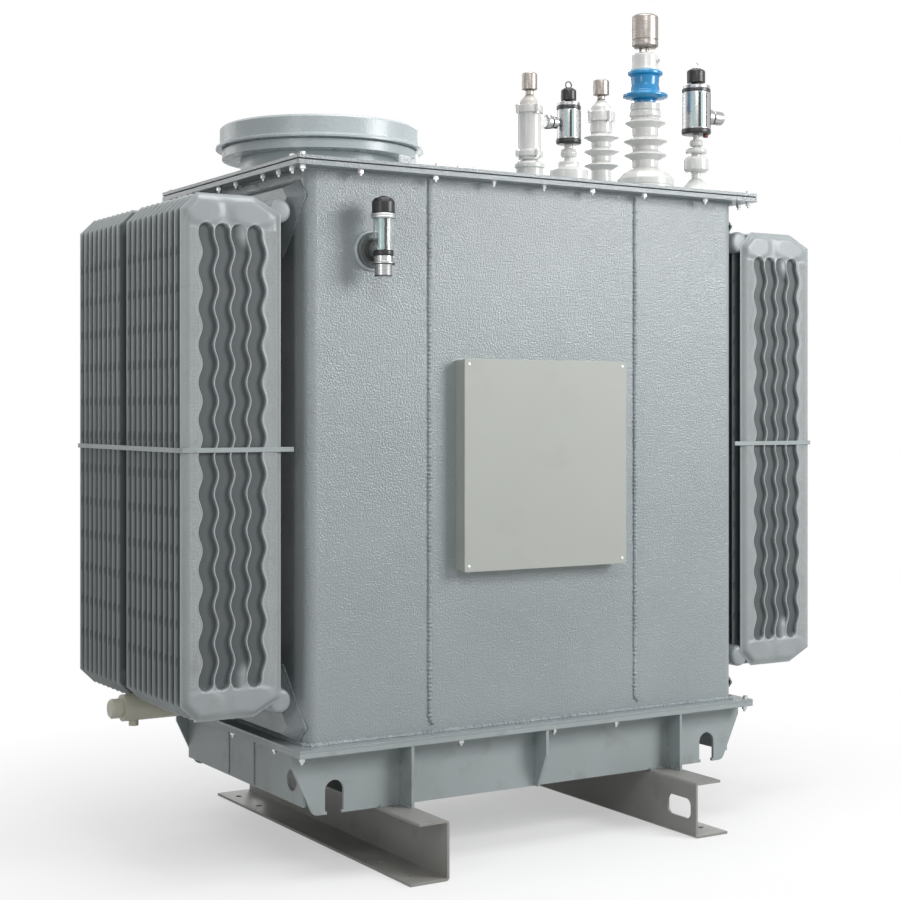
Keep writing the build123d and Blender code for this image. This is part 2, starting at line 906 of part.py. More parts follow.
def gauge_barrel(radius, height, tip_radius):
    """Barrel on a slightly wider foot ring, with a bevelled top."""
    ring = radius + gauge_ring_step
    outline = [
        (ring - gauge_ring_bevel, 0),
        (ring, gauge_ring_bevel),
        (ring, gauge_ring_height),
        (radius, gauge_ring_height),
        (radius, height - gauge_bevel_height),
        (tip_radius, height),
    ]
    return turned(outline)


def knob(level, side, outline):
    """A bleed knob that points along X at a level."""
    return Pos(0, 0, level) * (Rotation(0, side * 90, 0) * turned(outline))


def gauge_cap(neck_radius, neck_height, radius, height):
    """Rubber cap on a narrower neck, with a standing eye on top."""
    cap = turned(
        [
            (neck_radius, 0),
            (neck_radius, neck_height),
            (radius - gauge_cap_bevel, neck_height),
            (radius, neck_height + gauge_cap_bevel),
            (radius, neck_height + height - gauge_cap_bevel),
            (radius - gauge_cap_bevel, neck_height + height),
        ]
    )
    ring = Circle(gauge_eye_radius) - Circle(gauge_eye_radius - gauge_eye_wire)
    eye = extrude(Plane.XZ * ring, amount=gauge_eye_wire / 2, both=True)
    return cap + Pos(0, 0, neck_height + height + gauge_eye_radius - gauge_eye_wire / 2) * eye


def ball(radius, height, level):
    """Outline of a ball joint: a ring bevelled above and below."""
    return [
        (radius - ball_bevel, level),
        (radius, level + ball_bevel),
        (radius, level + height - ball_bevel),
        (radius - ball_bevel, level + height),
    ]


def left_gauge_foot():
    """Disc with a sloped shoulder, a step, and a ball joint between two necks."""
    outline = steps((left_gauge_foot_radius, left_gauge_foot_height, left_gauge_foot_bevel))
    step_foot = left_gauge_foot_height + left_gauge_slope_height
    outline += raised(steps((left_gauge_step_radius, left_gauge_step_height)), step_foot)
    neck = step_foot + left_gauge_step_height
    ball_foot = neck + left_gauge_neck_height
    ball_top = ball_foot + left_gauge_ball_height
    outline += [(left_gauge_neck_radius, neck), (left_gauge_neck_radius, ball_foot)]
    outline += ball(left_gauge_ball_radius, left_gauge_ball_height, ball_foot)
    top = ball_top + left_gauge_neck_height
    outline += [(left_gauge_neck_radius, ball_top), (left_gauge_neck_radius, top)]
    return turned(outline), top


def right_gauge_foot():
    """Cone with a valve body, a ring and a ball joint above it, and a flat lever to the right."""
    cone_top = right_gauge_foot_height + right_gauge_cone_height
    outline = steps((right_gauge_foot_radius, right_gauge_foot_height))
    outline.append((right_gauge_cone_radius, cone_top))
    stack = steps(
        (right_gauge_neck_radius, right_gauge_neck_height),
        (right_gauge_body_radius, right_gauge_body_height, right_gauge_body_bevel),
        (right_gauge_neck_radius, right_gauge_ring_gap),
        (right_gauge_ring_radius, right_gauge_ring_height, right_gauge_body_bevel),
        (right_gauge_stem_radius, right_gauge_ball_gap),
    )
    outline += raised(stack, cone_top)
    ball_foot = outline[-1][1]
    ball_top = ball_foot + right_gauge_ball_height
    top = ball_top + right_gauge_stem_height
    outline += ball(right_gauge_ball_radius, right_gauge_ball_height, ball_foot)
    outline += [(right_gauge_stem_radius, ball_top), (right_gauge_stem_radius, top)]
    lever = Polygon(
        (lever_start, lever_top_level - lever_root_height),
        (lever_reach, lever_top_level - lever_tip_height),
        (lever_reach, lever_top_level),
        (lever_start, lever_top_level),
        align=None,
    )
    lever = extrude(Plane.XZ * lever, amount=lever_thickness / 2, both=True)
    return turned(outline) + lever, top


def on_front_wall(piece):
    """Puts a piece turned about Z on the stub's axis, pointing out of the front wall."""
    return Pos(front_gauge_x, tank_front_y, tank_top - front_gauge_drop) * (Rotation(90, 0, 0) * piece)


def front_gauge_stub():
    """Wall flange of three rings with a stub that ends hollowed to fit the gauge's column."""
    used = front_flange_thickness + front_ring_thickness + front_seal_thickness
    stub = turned(
        steps(
            (front_flange_radius, front_flange_thickness),
            (front_ring_radius, front_ring_thickness),
            (front_seal_radius, front_seal_thickness),
            (front_stub_radius, front_gauge_reach - used),
        )
    )
    cutter = Cylinder(
        front_gauge_glass_radius + seat_clearance,
        2 * (front_flange_radius + overrun),
        rotation=(90, 0, 0),
    )
    return on_front_wall(stub - Pos(0, 0, front_gauge_reach) * cutter)


def front_gauge_body():
    """Lower body: a foot that flares to a lip, a round body and a ring under the glass."""
    lip = front_body_foot_height + front_body_taper_height
    outline = [
        (front_body_foot_radius, 0),
        (front_body_foot_radius, front_body_foot_height),
        (front_body_lip_radius, lip),
        (front_body_lip_radius, lip + front_body_lip_height),
        (front_body_radius, lip + 2 * front_body_lip_height),
        (front_body_radius, front_body_height),
        (front_gauge_glass_radius, front_body_height),
        (front_gauge_glass_radius, front_body_height + front_ring_height),
    ]
    return turned(outline)


def front_gauge_cap():
    shoulder = front_gauge_cap_side + front_gauge_cap_shoulder
    return turned(
        [
            (front_gauge_cap_radius, 0),
            (front_gauge_cap_radius, front_gauge_cap_side),
            (front_gauge_cap_shoulder_radius, shoulder),
            (front_gauge_cap_tip_radius, front_gauge_cap_height),
        ]
    )


# Cabinet

def cabinet_body():
    depth = cabinet_depth - cabinet_cover_thickness
    outline = RectangleRounded(
        cabinet_width - 2 * cabinet_seam, cabinet_height - 2 * cabinet_seam, cabinet_radius
    )
    level = tank_foot + cabinet_rise + cabinet_height / 2
    return Pos(cabinet_x, tank_front_y, level) * extrude(Plane.XZ * outline, amount=depth)


def cabinet_cover():
    outline = RectangleRounded(cabinet_width, cabinet_height, cabinet_radius)
    level = tank_foot + cabinet_rise + cabinet_height / 2
    cover = extrude(Plane.XZ * outline, amount=cabinet_cover_thickness)
    front_y = tank_front_y - cabinet_depth + cabinet_cover_thickness
    return Pos(cabinet_x, front_y, level) * cover


# Drain valve, in the gap between the two groups of panels

def drain_y():
    return back_group_y - group_gap / 2


def drain_body():
    start = tank_end_x + header_duct_depth
    length = bank_outer_x - start
    outline = steps((drain_neck_radius, drain_neck_length), (drain_radius, length - drain_neck_length))
    body = Rotation(0, -90, 0) * turned(outline)
    plug = Cylinder(drain_plug_radius, drain_radius + drain_plug_height)
    plug_x = drain_plug_inset - length
    body += Pos(plug_x, 0, -(drain_radius + drain_plug_height) / 2) * plug
    return Pos(-start, drain_y(), tank_foot + drain_rise) * body


def drain_cap():
    cap = turned(
        steps(
            (drain_groove_radius, drain_groove_length),
            (drain_cap_radius, drain_cap_length, drain_cap_bevel),
        )
    )
    return Pos(-bank_outer_x, drain_y(), tank_foot + drain_rise) * (Rotation(0, -90, 0) * cap)


def write(name, piece):
    export_step(piece, f"parts/{name}.step")


# Write the skids and the base.
right_skid = skid()
write("skid_right", right_skid)
write("skid_left", half_turned(right_skid))
front_beam = base_beam()
write("base_front_beam", front_beam)
write("base_back_beam", mirrored_y(front_beam))
write("base_end_plates", both_sides(base_end_plate(), half_turned))
write("base_front_ribs", Compound(children=base_ribs()))
write("base_back_ribs", Compound(children=[mirrored_y(piece) for piece in base_ribs()]))
write("base_deck", plate(deck_length, deck_width, deck_thickness, base_top))

# Write the tank and its cover.
write("tank_bottom_flange", plate(deck_length, deck_width, tank_bottom_flange_thickness, deck_top))
write("tank_body", plate(tank_length, tank_width, tank_height, tank_foot, tank_corner_radius))
write(
    "tank_top_flange",
    plate(cover_length, cover_width, tank_top_flange_thickness, tank_top, cover_corner_radius),
)
gasket_length = cover_length - 2 * gasket_setback
gasket_width = cover_width - 2 * gasket_setback
write("cover_gasket", plate(gasket_length, gasket_width, gasket_thickness, flange_top))
write(
    "cover_plate", plate(cover_length, cover_width, cover_thickness, cover_bottom, cover_corner_radius)
)

# Write the radiators.
for side, side_name in ((1, "right"), (-1, "left")):
    front_group = radiator(front_panel_count, bank_front_y, side, -1)
    write(f"radiator_{side_name}_front", front_group)
    back_group = radiator(back_panel_count, back_group_y, side, 1)
    write(f"radiator_{side_name}_back", back_group)
write("header_ducts_right", Compound(children=header_ducts()))
write("header_ducts_left", Compound(children=[mirrored_x(piece) for piece in header_ducts()]))
right_strap = strap()
write("bank_strap_right", right_strap)
write("bank_strap_left", mirrored_x(right_strap))

# Write the hatch.
write("hatch_neck", hatch_neck())
write("hatch_flange", hatch_flange())
write("hatch_lid", hatch_lid())

# Write the bushings.
low_body, low_top = low_bushing()
write("low_bushing_body", on_cover(low_x, 0, low_body))
low_terminal = steps(
    (low_neck_radius, low_neck_height), (low_terminal_radius, low_terminal_height, terminal_bevel)
)
write("low_bushing_terminal", on_cover(low_x, low_top, turned(low_terminal)))
middle_body, middle_top = middle_bushing()
write("middle_bushing_body", on_cover(middle_x, 0, middle_body))
clamp, clamp_height = middle_clamp()
write("middle_bushing_clamp", on_cover(middle_x, middle_top, clamp))
middle_terminal = steps(
    (middle_neck_radius, middle_neck_height),
    (middle_terminal_radius, middle_terminal_height, terminal_bevel),
)
write("middle_bushing_terminal", on_cover(middle_x, middle_top + clamp_height, turned(middle_terminal)))
high_body, high_top = high_bushing()
write("high_bushing_body", on_cover(high_x, 0, high_body))
write("high_bushing_spool", on_cover(high_x, high_top, high_spool()))
head_level = high_top + high_spool_height
high_head = turned(steps((high_head_radius, high_head_height, high_head_bevel)))
write("high_bushing_head", on_cover(high_x, head_level, high_head))
write("high_bushing_terminal", on_cover(high_x, head_level + high_head_height, high_terminal()))

# Write the gauges on the cover.
left_foot, left_level = left_gauge_foot()
write("left_gauge_foot", on_cover(left_gauge_x, 0, left_foot))
left_barrel = gauge_barrel(left_gauge_barrel_radius, left_gauge_barrel_height, left_gauge_barrel_tip_radius)
left_knob = steps(
    (left_knob_stem_radius, left_knob_stem_length),
    (left_knob_nut_radius, left_knob_nut_length),
    (left_knob_stem_radius, left_knob_gap),
    (left_knob_radius, left_knob_length, gauge_cap_bevel),
)
left_barrel += knob(left_gauge_knob_level, -1, left_knob)
write("left_gauge_barrel", on_cover(left_gauge_x, left_level, left_barrel))
left_cap = gauge_cap(
    left_gauge_cap_neck_radius, left_gauge_cap_neck_height, left_gauge_cap_radius, left_gauge_cap_height
)
write("left_gauge_cap", on_cover(left_gauge_x, left_level + left_gauge_barrel_height, left_cap))
right_foot, right_level = right_gauge_foot()
write("right_gauge_foot", on_cover(right_gauge_x, 0, right_foot))
right_barrel = gauge_barrel(
    right_gauge_barrel_radius, right_gauge_barrel_height, right_gauge_barrel_tip_radius
)
right_knob = steps(
    (right_knob_flange_radius, right_knob_flange_reach),
    (right_knob_gap_radius, right_knob_gap),
    (right_knob_radius, right_knob_length, gauge_cap_bevel),
)
right_barrel += knob(right_gauge_knob_level, 1, right_knob)
write("right_gauge_barrel", on_cover(right_gauge_x, right_level, right_barrel))
right_cap = gauge_cap(
    right_gauge_cap_neck_radius,
    right_gauge_cap_neck_height,
    right_gauge_cap_radius,
    right_gauge_cap_height,
)
write("right_gauge_cap", on_cover(right_gauge_x, right_level + right_gauge_barrel_height, right_cap))

# Write the gauge on the front wall, whose stub ends on the column's round side.
column_foot = tank_top - front_gauge_drop - front_gauge_body_rise
column = Pos(front_gauge_x, tank_front_y - front_gauge_reach, column_foot)
body = column * front_gauge_body()
glass_level = front_body_height + front_ring_height
glass_outline = steps(
    (front_gauge_glass_radius, front_gauge_glass_height), (front_gauge_band_radius, front_gauge_band_height)
)
glass = column * (Pos(0, 0, glass_level) * turned(glass_outline))
write("front_gauge_stub", front_gauge_stub())
write("front_gauge_body", body)
write("front_gauge_glass", glass)
cap_level = glass_level + front_gauge_glass_height + front_gauge_band_height
write("front_gauge_cap", column * (Pos(0, 0, cap_level) * front_gauge_cap()))

# Write the cabinet and the drain valve.
write("cabinet_body", cabinet_body())
write("cabinet_cover", cabinet_cover())
write("drain_valve_body", drain_body())
write("drain_valve_cap", drain_cap())
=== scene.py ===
import math

import bpy
import numpy as np
from mathutils import Matrix, Vector


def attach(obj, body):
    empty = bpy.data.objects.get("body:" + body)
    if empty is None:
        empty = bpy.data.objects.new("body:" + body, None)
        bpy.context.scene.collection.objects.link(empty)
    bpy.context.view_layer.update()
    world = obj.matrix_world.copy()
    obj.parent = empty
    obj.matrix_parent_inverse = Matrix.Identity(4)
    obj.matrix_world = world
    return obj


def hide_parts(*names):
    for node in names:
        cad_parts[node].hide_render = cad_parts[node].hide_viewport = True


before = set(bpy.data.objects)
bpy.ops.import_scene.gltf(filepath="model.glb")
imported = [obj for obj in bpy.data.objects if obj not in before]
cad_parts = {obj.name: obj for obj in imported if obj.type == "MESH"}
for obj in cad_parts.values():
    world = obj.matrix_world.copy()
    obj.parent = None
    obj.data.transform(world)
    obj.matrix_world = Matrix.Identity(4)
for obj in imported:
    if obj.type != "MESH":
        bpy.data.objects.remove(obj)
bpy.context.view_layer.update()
MM = 0.001


# Materials
DUST = (0.16, 0.15, 0.12)


def shader(name):
    material = bpy.data.materials.new(name)
    material.use_nodes = True
    tree = material.node_tree
    return material, tree, tree.nodes["Principled BSDF"]


def node(tree, kind, **values):
    """A shader node with its sockets set by name."""
    made = tree.nodes.new(kind)
    for key, value in values.items():
        if key in made.inputs:
            made.inputs[key].default_value = value
        else:
            setattr(made, key, value)
    return made


def link(source, target, socket):
    """Leads an output into a node's socket."""
    target.id_data.links.new(source, target.inputs[socket])


def noise(tree, scale, detail=2.0, stretch=None):
    """Noise in the object's own metres, stretched where asked."""
    place = node(tree, "ShaderNodeTexCoord")
    texture = node(tree, "ShaderNodeTexNoise", Scale=scale, Detail=detail)
    source = place.outputs["Object"]
    if stretch:
        mapping = node(tree, "ShaderNodeMapping", Scale=stretch)
        link(source, mapping, "Vector")
        source = mapping.outputs["Vector"]
    link(source, texture, "Vector")
    return texture.outputs["Fac"]


def ramp(tree, source, low, high, low_value, high_value):
    """Maps a value's range onto two numbers."""
    limits = {"From Min": low, "From Max": high, "To Min": low_value, "To Max": high_value}
    mapped = node(tree, "ShaderNodeMapRange", **limits)
    link(source, mapped, "Value")
    return mapped.outputs["Result"]


def mixed(tree, fac, a, b):
    """A colour between two, each a colour or a socket."""
    mix = node(tree, "ShaderNodeMix", data_type="RGBA")
    for socket, value in ((mix.inputs[6], a), (mix.inputs[7], b)):
        if isinstance(value, tuple):
            socket.default_value = (*value, 1.0)
        else:
            tree.links.new(value, socket)
    link(fac, mix, 0)
    return mix.outputs[2]


def bump(tree, source, distance, strength=1.0, under=None):
    made = node(tree, "ShaderNodeBump", Strength=strength, Distance=distance)
    link(source, made, "Height")
    if under:
        link(under, made, "Normal")
    return made.outputs["Normal"]


def paint(name, colour, dark, roughness, grain, depth, dust_share=0.25):
    """Sprayed paint: cloudy colour, a bumpy skin with its own grain, and a little dust."""
    material, tree, base = shader(name)
    cloudy = ramp(tree, noise(tree, 3.0, 4.0), 0.3, 0.7, 0.0, 1.0)
    tone = mixed(tree, cloudy, colour, dark)
    dust = ramp(tree, noise(tree, 9.0, 6.0), 0.56, 0.78, 0.0, dust_share)
    link(mixed(tree, dust, tone, DUST), base, "Base Color")
    skin = ramp(tree, noise(tree, grain, 1.5), 0.35, 0.68, 0.0, 1.0)
    soft = node(tree, "ShaderNodeBevel", Radius=0.0022, samples=4)
    wavy = bump(tree, noise(tree, grain * 0.23, 2.0), depth * 2.2, 0.6, soft.outputs[0])
    link(bump(tree, skin, depth, 1.0, wavy), base, "Normal")
    worn = ramp(tree, noise(tree, 14.0, 5.0), 0.3, 0.7, roughness, roughness + 0.06)
    link(worn, base, "Roughness")
    return material


def metal(name, colour, dark, roughness, stretch, scale=60.0):
    """Brushed metal: fine lines, with colour and gloss that change along them."""
    material, tree, base = shader(name)
    lines = noise(tree, scale, 6.0, stretch)
    darkened = ramp(tree, lines, 0.3, 0.7, 0.0, 1.0)
    link(mixed(tree, darkened, colour, dark), base, "Base Color")
    link(ramp(tree, lines, 0.25, 0.75, roughness, roughness + 0.16), base, "Roughness")
    link(bump(tree, lines, 0.00006, 0.5), base, "Normal")
    base.inputs["Metallic"].default_value = 1.0
    return material


def glaze(name, colour, dark, roughness, depth, coat=0.0):
    """Glazed or moulded surface: even colour with faint clouds and a soft ripple."""
    material, tree, base = shader(name)
    cloudy = ramp(tree, noise(tree, 11.0, 5.0), 0.35, 0.75, 0.0, 1.0)
    link(mixed(tree, cloudy, colour, dark), base, "Base Color")
    link(bump(tree, noise(tree, 70.0, 2.0), depth, 0.5), base, "Normal")
    worn = ramp(tree, noise(tree, 30.0, 4.0), 0.3, 0.7, roughness, roughness + 0.1)
    link(worn, base, "Roughness")
    base.inputs["Coat Weight"].default_value = coat
    base.inputs["Coat Roughness"].default_value = 0.08
    return material


def glass(name):
    """Clear thick glass with a faint ripple, a little dusty."""
    material, tree, base = shader(name)
    dust = ramp(tree, noise(tree, 40.0, 5.0), 0.45, 0.8, 0.0, 1.0)
    link(mixed(tree, dust, (0.93, 0.97, 0.96), (0.85, 0.88, 0.86)), base, "Base Color")
    link(ramp(tree, dust, 0.0, 1.0, 0.02, 0.12), base, "Roughness")
    link(bump(tree, noise(tree, 45.0, 1.0), 0.0002, 0.4), base, "Normal")
    base.inputs["Transmission Weight"].default_value = 1.0
    base.inputs["IOR"].default_value = 1.45
    return material


def pressed(name, plain, channel_shade, band):
    """Paint of the pressed panels: rougher and darker in the channels and between panels, a painted shade;
    dimpled beside the channels and paler there, a painted highlight; brighter on the channels' lips and
    the panel edges, a painted highlight too.
    """
    material, tree, base = shader(name)
    marks = node(tree, "ShaderNodeAttribute", attribute_name="pressing_and_painted_light")
    parted = node(tree, "ShaderNodeSeparateColor")
    link(marks.outputs["Color"], parted, 0)
    cloudy = ramp(tree, noise(tree, 7.0, 5.0), 0.3, 0.7, 0.0, 0.35)
    # Paler bands beside the channels: painted highlight.
    tone = mixed(tree, parted.outputs[1], plain, band)
    tone = mixed(tree, cloudy, tone, tuple(0.82 * part for part in plain))
    # Channels and the gaps between panels: painted shade.
    tone = mixed(tree, parted.outputs[0], tone, channel_shade)
    # Lips round the channels and panel edges: painted highlight.
    tone = mixed(tree, parted.outputs[2], tone, tuple(1.3 * part for part in band))
    dust = ramp(tree, noise(tree, 16.0, 6.0), 0.58, 0.8, 0.0, 0.3)
    link(mixed(tree, dust, tone, (0.17, 0.16, 0.13)), base, "Base Color")
    place = node(tree, "ShaderNodeTexCoord")
    dots = node(tree, "ShaderNodeTexVoronoi", Scale=260.0, Randomness=0.35)
    link(place.outputs["Object"], dots, "Vector")
    dimple = node(tree, "ShaderNodeMath", operation="MULTIPLY")
    link(dots.outputs["Distance"], dimple, 0)
    link(parted.outputs[1], dimple, 1)
    skin = bump(tree, noise(tree, 190.0, 1.5), 0.00025, 0.8)
    link(bump(tree, dimple.outputs[0], 0.0024, 1.0, skin), base, "Normal")
    link(ramp(tree, parted.outputs[0], 0.0, 1.0, 0.34, 0.55), base, "Roughness")
    return material


# A paint: colour, darker clouds, roughness, grain per metre, depth of the grain, share of dust
TANK = paint("tank_hammered", (0.328, 0.367, 0.380), (0.304, 0.342, 0.354), 0.18, 185.0, 0.00075, 0.06)
# Tank paint in a smoother, lighter copy: its lighter colour is a painted highlight on the hatch and the
# front gauge's flange.
LIT_TANK_PAINT = paint("lighter_tank_paint", (0.490, 0.543, 0.558), (0.450, 0.500, 0.516), 0.24, 110.0, 0.00022, 0.08)
FRAME = paint("frame_paint", (0.375, 0.420, 0.425), (0.325, 0.366, 0.370), 0.42, 150.0, 0.00018, 0.45)
SKID = paint("skid_paint", (0.330, 0.325, 0.308), (0.285, 0.281, 0.267), 0.40, 150.0, 0.00015, 0.5)
# Weld paint paler than the tank's, as a painted highlight for the glinting beads.
WELD_GLINT_PAINT = paint("weld_glint_paint", (0.440, 0.490, 0.510), (0.300, 0.340, 0.355), 0.20, 260.0, 0.0018)
CABINET = paint("cabinet_paint", (0.430, 0.450, 0.415), (0.415, 0.434, 0.400), 0.45, 520.0, 0.00004, 0.08)
VALVE = paint("valve_paint", (0.600, 0.585, 0.490), (0.540, 0.520, 0.420), 0.36, 120.0, 0.00012, 0.3)
IVORY = paint("dome_paint", (0.600, 0.585, 0.540), (0.550, 0.535, 0.490), 0.32, 120.0, 0.00010, 0.15)
OXIDE = paint("oxide_red", (0.18, 0.055, 0.035), (0.13, 0.04, 0.025), 0.4, 150.0, 0.0001)
GASKET = paint("gasket_rubber", (0.035, 0.036, 0.036), (0.025, 0.025, 0.026), 0.62, 200.0, 0.0002)
CAP = paint("cap_rubber", (0.018, 0.018, 0.019), (0.012, 0.012, 0.013), 0.30, 160.0, 0.00012, 0.1)
HEAD = paint("gauge_head", (0.040, 0.043, 0.045), (0.030, 0.033, 0.035), 0.20, 120.0, 0.00010, 0.05)
DULL = paint("dull_ring", (0.115, 0.130, 0.135), (0.085, 0.098, 0.102), 0.36, 120.0, 0.00012)
# Pressed paint: plain colour, painted shade for the channels and gaps, and the colour of the painted
# highlight beside them.
PRESSED = pressed("pressed_paint", (0.330, 0.362, 0.370), (0.050, 0.061, 0.065), (0.370, 0.398, 0.400))

# A glaze: colour, darker clouds, roughness, depth of the ripple, weight of the coat
PORCELAIN = glaze("porcelain", (0.70, 0.705, 0.685), (0.65, 0.655, 0.635), 0.16, 0.00012, 0.3)
BLUE = glaze("spool_blue", (0.008, 0.255, 0.530), (0.005, 0.215, 0.470), 0.16, 0.0001, 0.3)
CYAN = glaze("gauge_scale", (0.46, 0.60, 0.60), (0.38, 0.52, 0.53), 0.25, 0.00005)

# A metal: colour, darker lines, roughness, stretch of the lines and their scale
BRUSHED = metal("terminal_steel", (0.44, 0.405, 0.375), (0.20, 0.180, 0.165), 0.28, (1.0, 1.0, 22.0))
POLISHED = metal("gauge_metal", (0.56, 0.56, 0.56), (0.30, 0.305, 0.31), 0.20, (1.0, 1.0, 14.0))
ZINC = metal("zinc", (0.68, 0.69, 0.68), (0.50, 0.51, 0.50), 0.28, (3.0, 3.0, 3.0), 160.0)
GLASS = glass("gauge_glass")


# Shapes

def piece(name, vertices, faces, material, slot, replaces=(), sharp=35.0):
    """A mesh in millimetres of the row frame that rides on the part."""
    data = bpy.data.meshes.new(name)
    data.from_pydata((np.asarray(vertices, dtype=float) * MM).tolist(), [], faces)
    data.update()
    data.shade_smooth()
    data.set_sharp_from_angle(angle=math.radians(sharp))
    data.materials.append(material)
    made = bpy.data.objects.new(name, data)
    bpy.context.collection.objects.link(made)
    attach(made, "root")
    if replaces:
        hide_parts(*replaces)
    return made


def rounded(outline, steps=4):
    """Corners of an outline, with an arc where a corner has a rounding as its third value."""
    points = []
    count = len(outline)
    for index, corner in enumerate(outline):
        here = Vector(corner[:2])
        if len(corner) < 3 or index in (0, count - 1):
            points.append(tuple(here))
            continue
        before = (Vector(outline[index - 1][:2]) - here)
        after = (Vector(outline[index + 1][:2]) - here)
        angle = before.angle(after)
        reach = min(corner[2] / math.tan(angle / 2), before.length * 0.49, after.length * 0.49)
        start = here + before.normalized() * reach
        end = here + after.normalized() * reach
        for step in range(steps + 1):
            t = step / steps
            points.append(tuple(start.lerp(here, t).lerp(here.lerp(end, t), t)))
    return points


def lathe(outline, segments=56, place=None):
    """Vertices and faces of an outline of (radius, height) corners turned about Z, then put in place."""
    points = rounded(outline)
    vertices = []
    faces = []
    rings = []
    for radius, height in points:
        if radius < 0.01:
            rings.append([len(vertices)])
            vertices.append((0.0, 0.0, height))
            continue
        rings.append(list(range(len(vertices), len(vertices) + segments)))
        for k in range(segments):
            angle = 2 * math.pi * k / segments
            vertices.append((radius * math.cos(angle), radius * math.sin(angle), height))
    for low, high in zip(rings, rings[1:]):
        for k in range(segments):
            after = (k + 1) % segments
            if len(low) == 1 and len(high) == 1:
                break
            if len(low) == 1:
                faces.append((low[0], high[after], high[k]))
            elif len(high) == 1:
                faces.append((low[k], low[after], high[0]))
            else:
                faces.append((low[k], low[after], high[after], high[k]))
    if len(rings[0]) > 1:
        faces.append(tuple(reversed(rings[0])))
    if len(rings[-1]) > 1:
        faces.append(tuple(rings[-1]))
    if place is not None:
        vertices = [tuple(place @ Vector(v)) for v in vertices]
    return vertices, faces


def joined(parts):
    """Several (vertices, faces) pairs as one."""
    vertices = []
    faces = []
    for some_vertices, some_faces in parts:
        start = len(vertices)
        vertices.extend(some_vertices)
        faces.extend(tuple(start + i for i in face) for face in some_faces)
    return vertices, faces


def at(x, y, z, turn=None):
    """A place in millimetres, turned first where a (degrees, axis) pair is given."""
    place = Matrix.Translation((x, y, z))
    return place @ Matrix.Rotation(math.radians(turn[0]), 4, turn[1]) if turn else place


def hexagon(width, height, place, crown=0.12):
    """A chamfered nut or bolt head, standing on its foot."""
    radius = width / math.sqrt(3)
    bevel = width * crown
    outline = [(radius, 0.0), (radius, height - bevel * 0.5), (radius - bevel, height), (0.0, height)]
    return lathe(outline, 6, place)


def washer(radius, height, place):
    """A disc with a bevelled edge."""
    outline = [(radius, 0.0), (radius, height * 0.7), (radius - height * 0.4, height), (0.0, height)]
    return lathe(outline, 20, place)


def slab(points, thickness, place=None):
    """A flat outline in XY, given height along Z."""
    count = len(points)
    vertices = [(x, y, 0.0) for x, y in points] + [(x, y, thickness) for x, y in points]
    faces = [tuple(reversed(range(count))), tuple(range(count, 2 * count))]
    for k in range(count):
        after = (k + 1) % count
        faces.append((k, after, count + after, count + k))
    if place is not None:
        vertices = [tuple(place @ Vector(v)) for v in vertices]
    return vertices, faces


def tube(path, radius, sides=8, closed=False):
    """A round bar along a path of points."""
    path = [Vector(p) for p in path]
    count = len(path)
    vertices = []
    faces = []
    side = None
    for k, point in enumerate(path):
        if closed:
            along = (path[(k + 1) % count] - path[k - 1]).normalized()
        else:
            along = (path[min(k + 1, count - 1)] - path[max(k - 1, 0)]).normalized()
        if side is None:
            side = along.orthogonal().normalized()
        side = (side - along * side.dot(along)).normalized()
        up = along.cross(side)
        here = radius[k] if isinstance(radius, (list, tuple)) else radius
        for j in range(sides):
            angle = 2 * math.pi * j / sides
            vertices.append(tuple(point + (side * math.cos(angle) + up * math.sin(angle)) * here))
    for k in range(count if closed else count - 1):
        low = k * sides
        high = (k + 1) % count * sides
        for j in range(sides):
            after = (j + 1) % sides
            faces.append((low + j, low + after, high + after, high + j))
    if not closed:
        faces.append(tuple(reversed(range(sides))))
        faces.append(tuple(range((count - 1) * sides, count * sides)))
    return vertices, faces


def bead(path, width, seed, step=3.2):
    """A weld bead along a path, with its ripples and uneven width."""
    rng = np.random.default_rng(seed)
    path = [Vector(p) for p in path]
    points = []
    radii = []
    for start, end in zip(path, path[1:]):
        count = max(2, int((end - start).length / step))
        for k in range(count):
            points.append(start.lerp(end, k / count))
    points.append(path[-1])
    for k in range(len(points)):
        radii.append(width / 2 * (1.0 + (0.22 if k % 2 else -0.20) + rng.uniform(-0.18, 0.18)))
    return tube(points, radii, 8)


# Sizes of the part, in millimetres
TANK_X, TANK_Y = 813.5, 460.0
TANK_FOOT, TANK_TOP = 388.0, 2087.0
COVER_X, COVER_Y, COVER_TOP = 873.5, 520.0, 2115.0
DECK_X, DECK_Y, DECK_FOOT = 861.5, 508.0, 365.0
BEAM_FACE, BEAM_INSIDE, BEAM_TOP = 441.0, 429.0, 362.0
SKID_TOP, SKID_INNER, SKID_OUTER = 180.0, 468.0, 562.0
RIB_X = (-482.0, 10.0, 549.0)
CABINET_X, CABINET_HALF, CABINET_FOOT, CABINET_TOP, CABINET_DEPTH = 5.0, 309.0, 879.0, 1533.0, 55.0
PANEL_WIDTH, PANEL_HEIGHT, PANEL_FOOT = 314.0, 1509.0, 487.0
LEFT_CUT, RIGHT_CUT = (48.0, 47.0), (88.0, 45.0)
RIM, BODY, SHAPED_BODY, HEADER = 1.5, 10.0, 13.5, 17.5
WAVE, WAVE_HEIGHT = 106.5, 6.5
CHANNELS = (80.0, 130.5, 181.0, 231.5)
CHANNEL_HALF, CHANNEL_END, WAVE_END = 23.4, 108.5, 115.5
LOBES = ((68.0, 70.0), (218.0, 84.0))
PITCH = 42.0
GROUPS = (("front", -421.0, 11), ("back", 85.0, 9))
INNER_X, OUTER_X = 881.0, 1195.0
PIPE_DROP, PIPE_RADIUS, STUB_RADIUS = 36.0, 36.0, 26.0
ROW_Y = -370.0


# Radiators

def smooth(t):
    t = np.clip(t, 0, 1)
    return t * t * (3 - 2 * t)


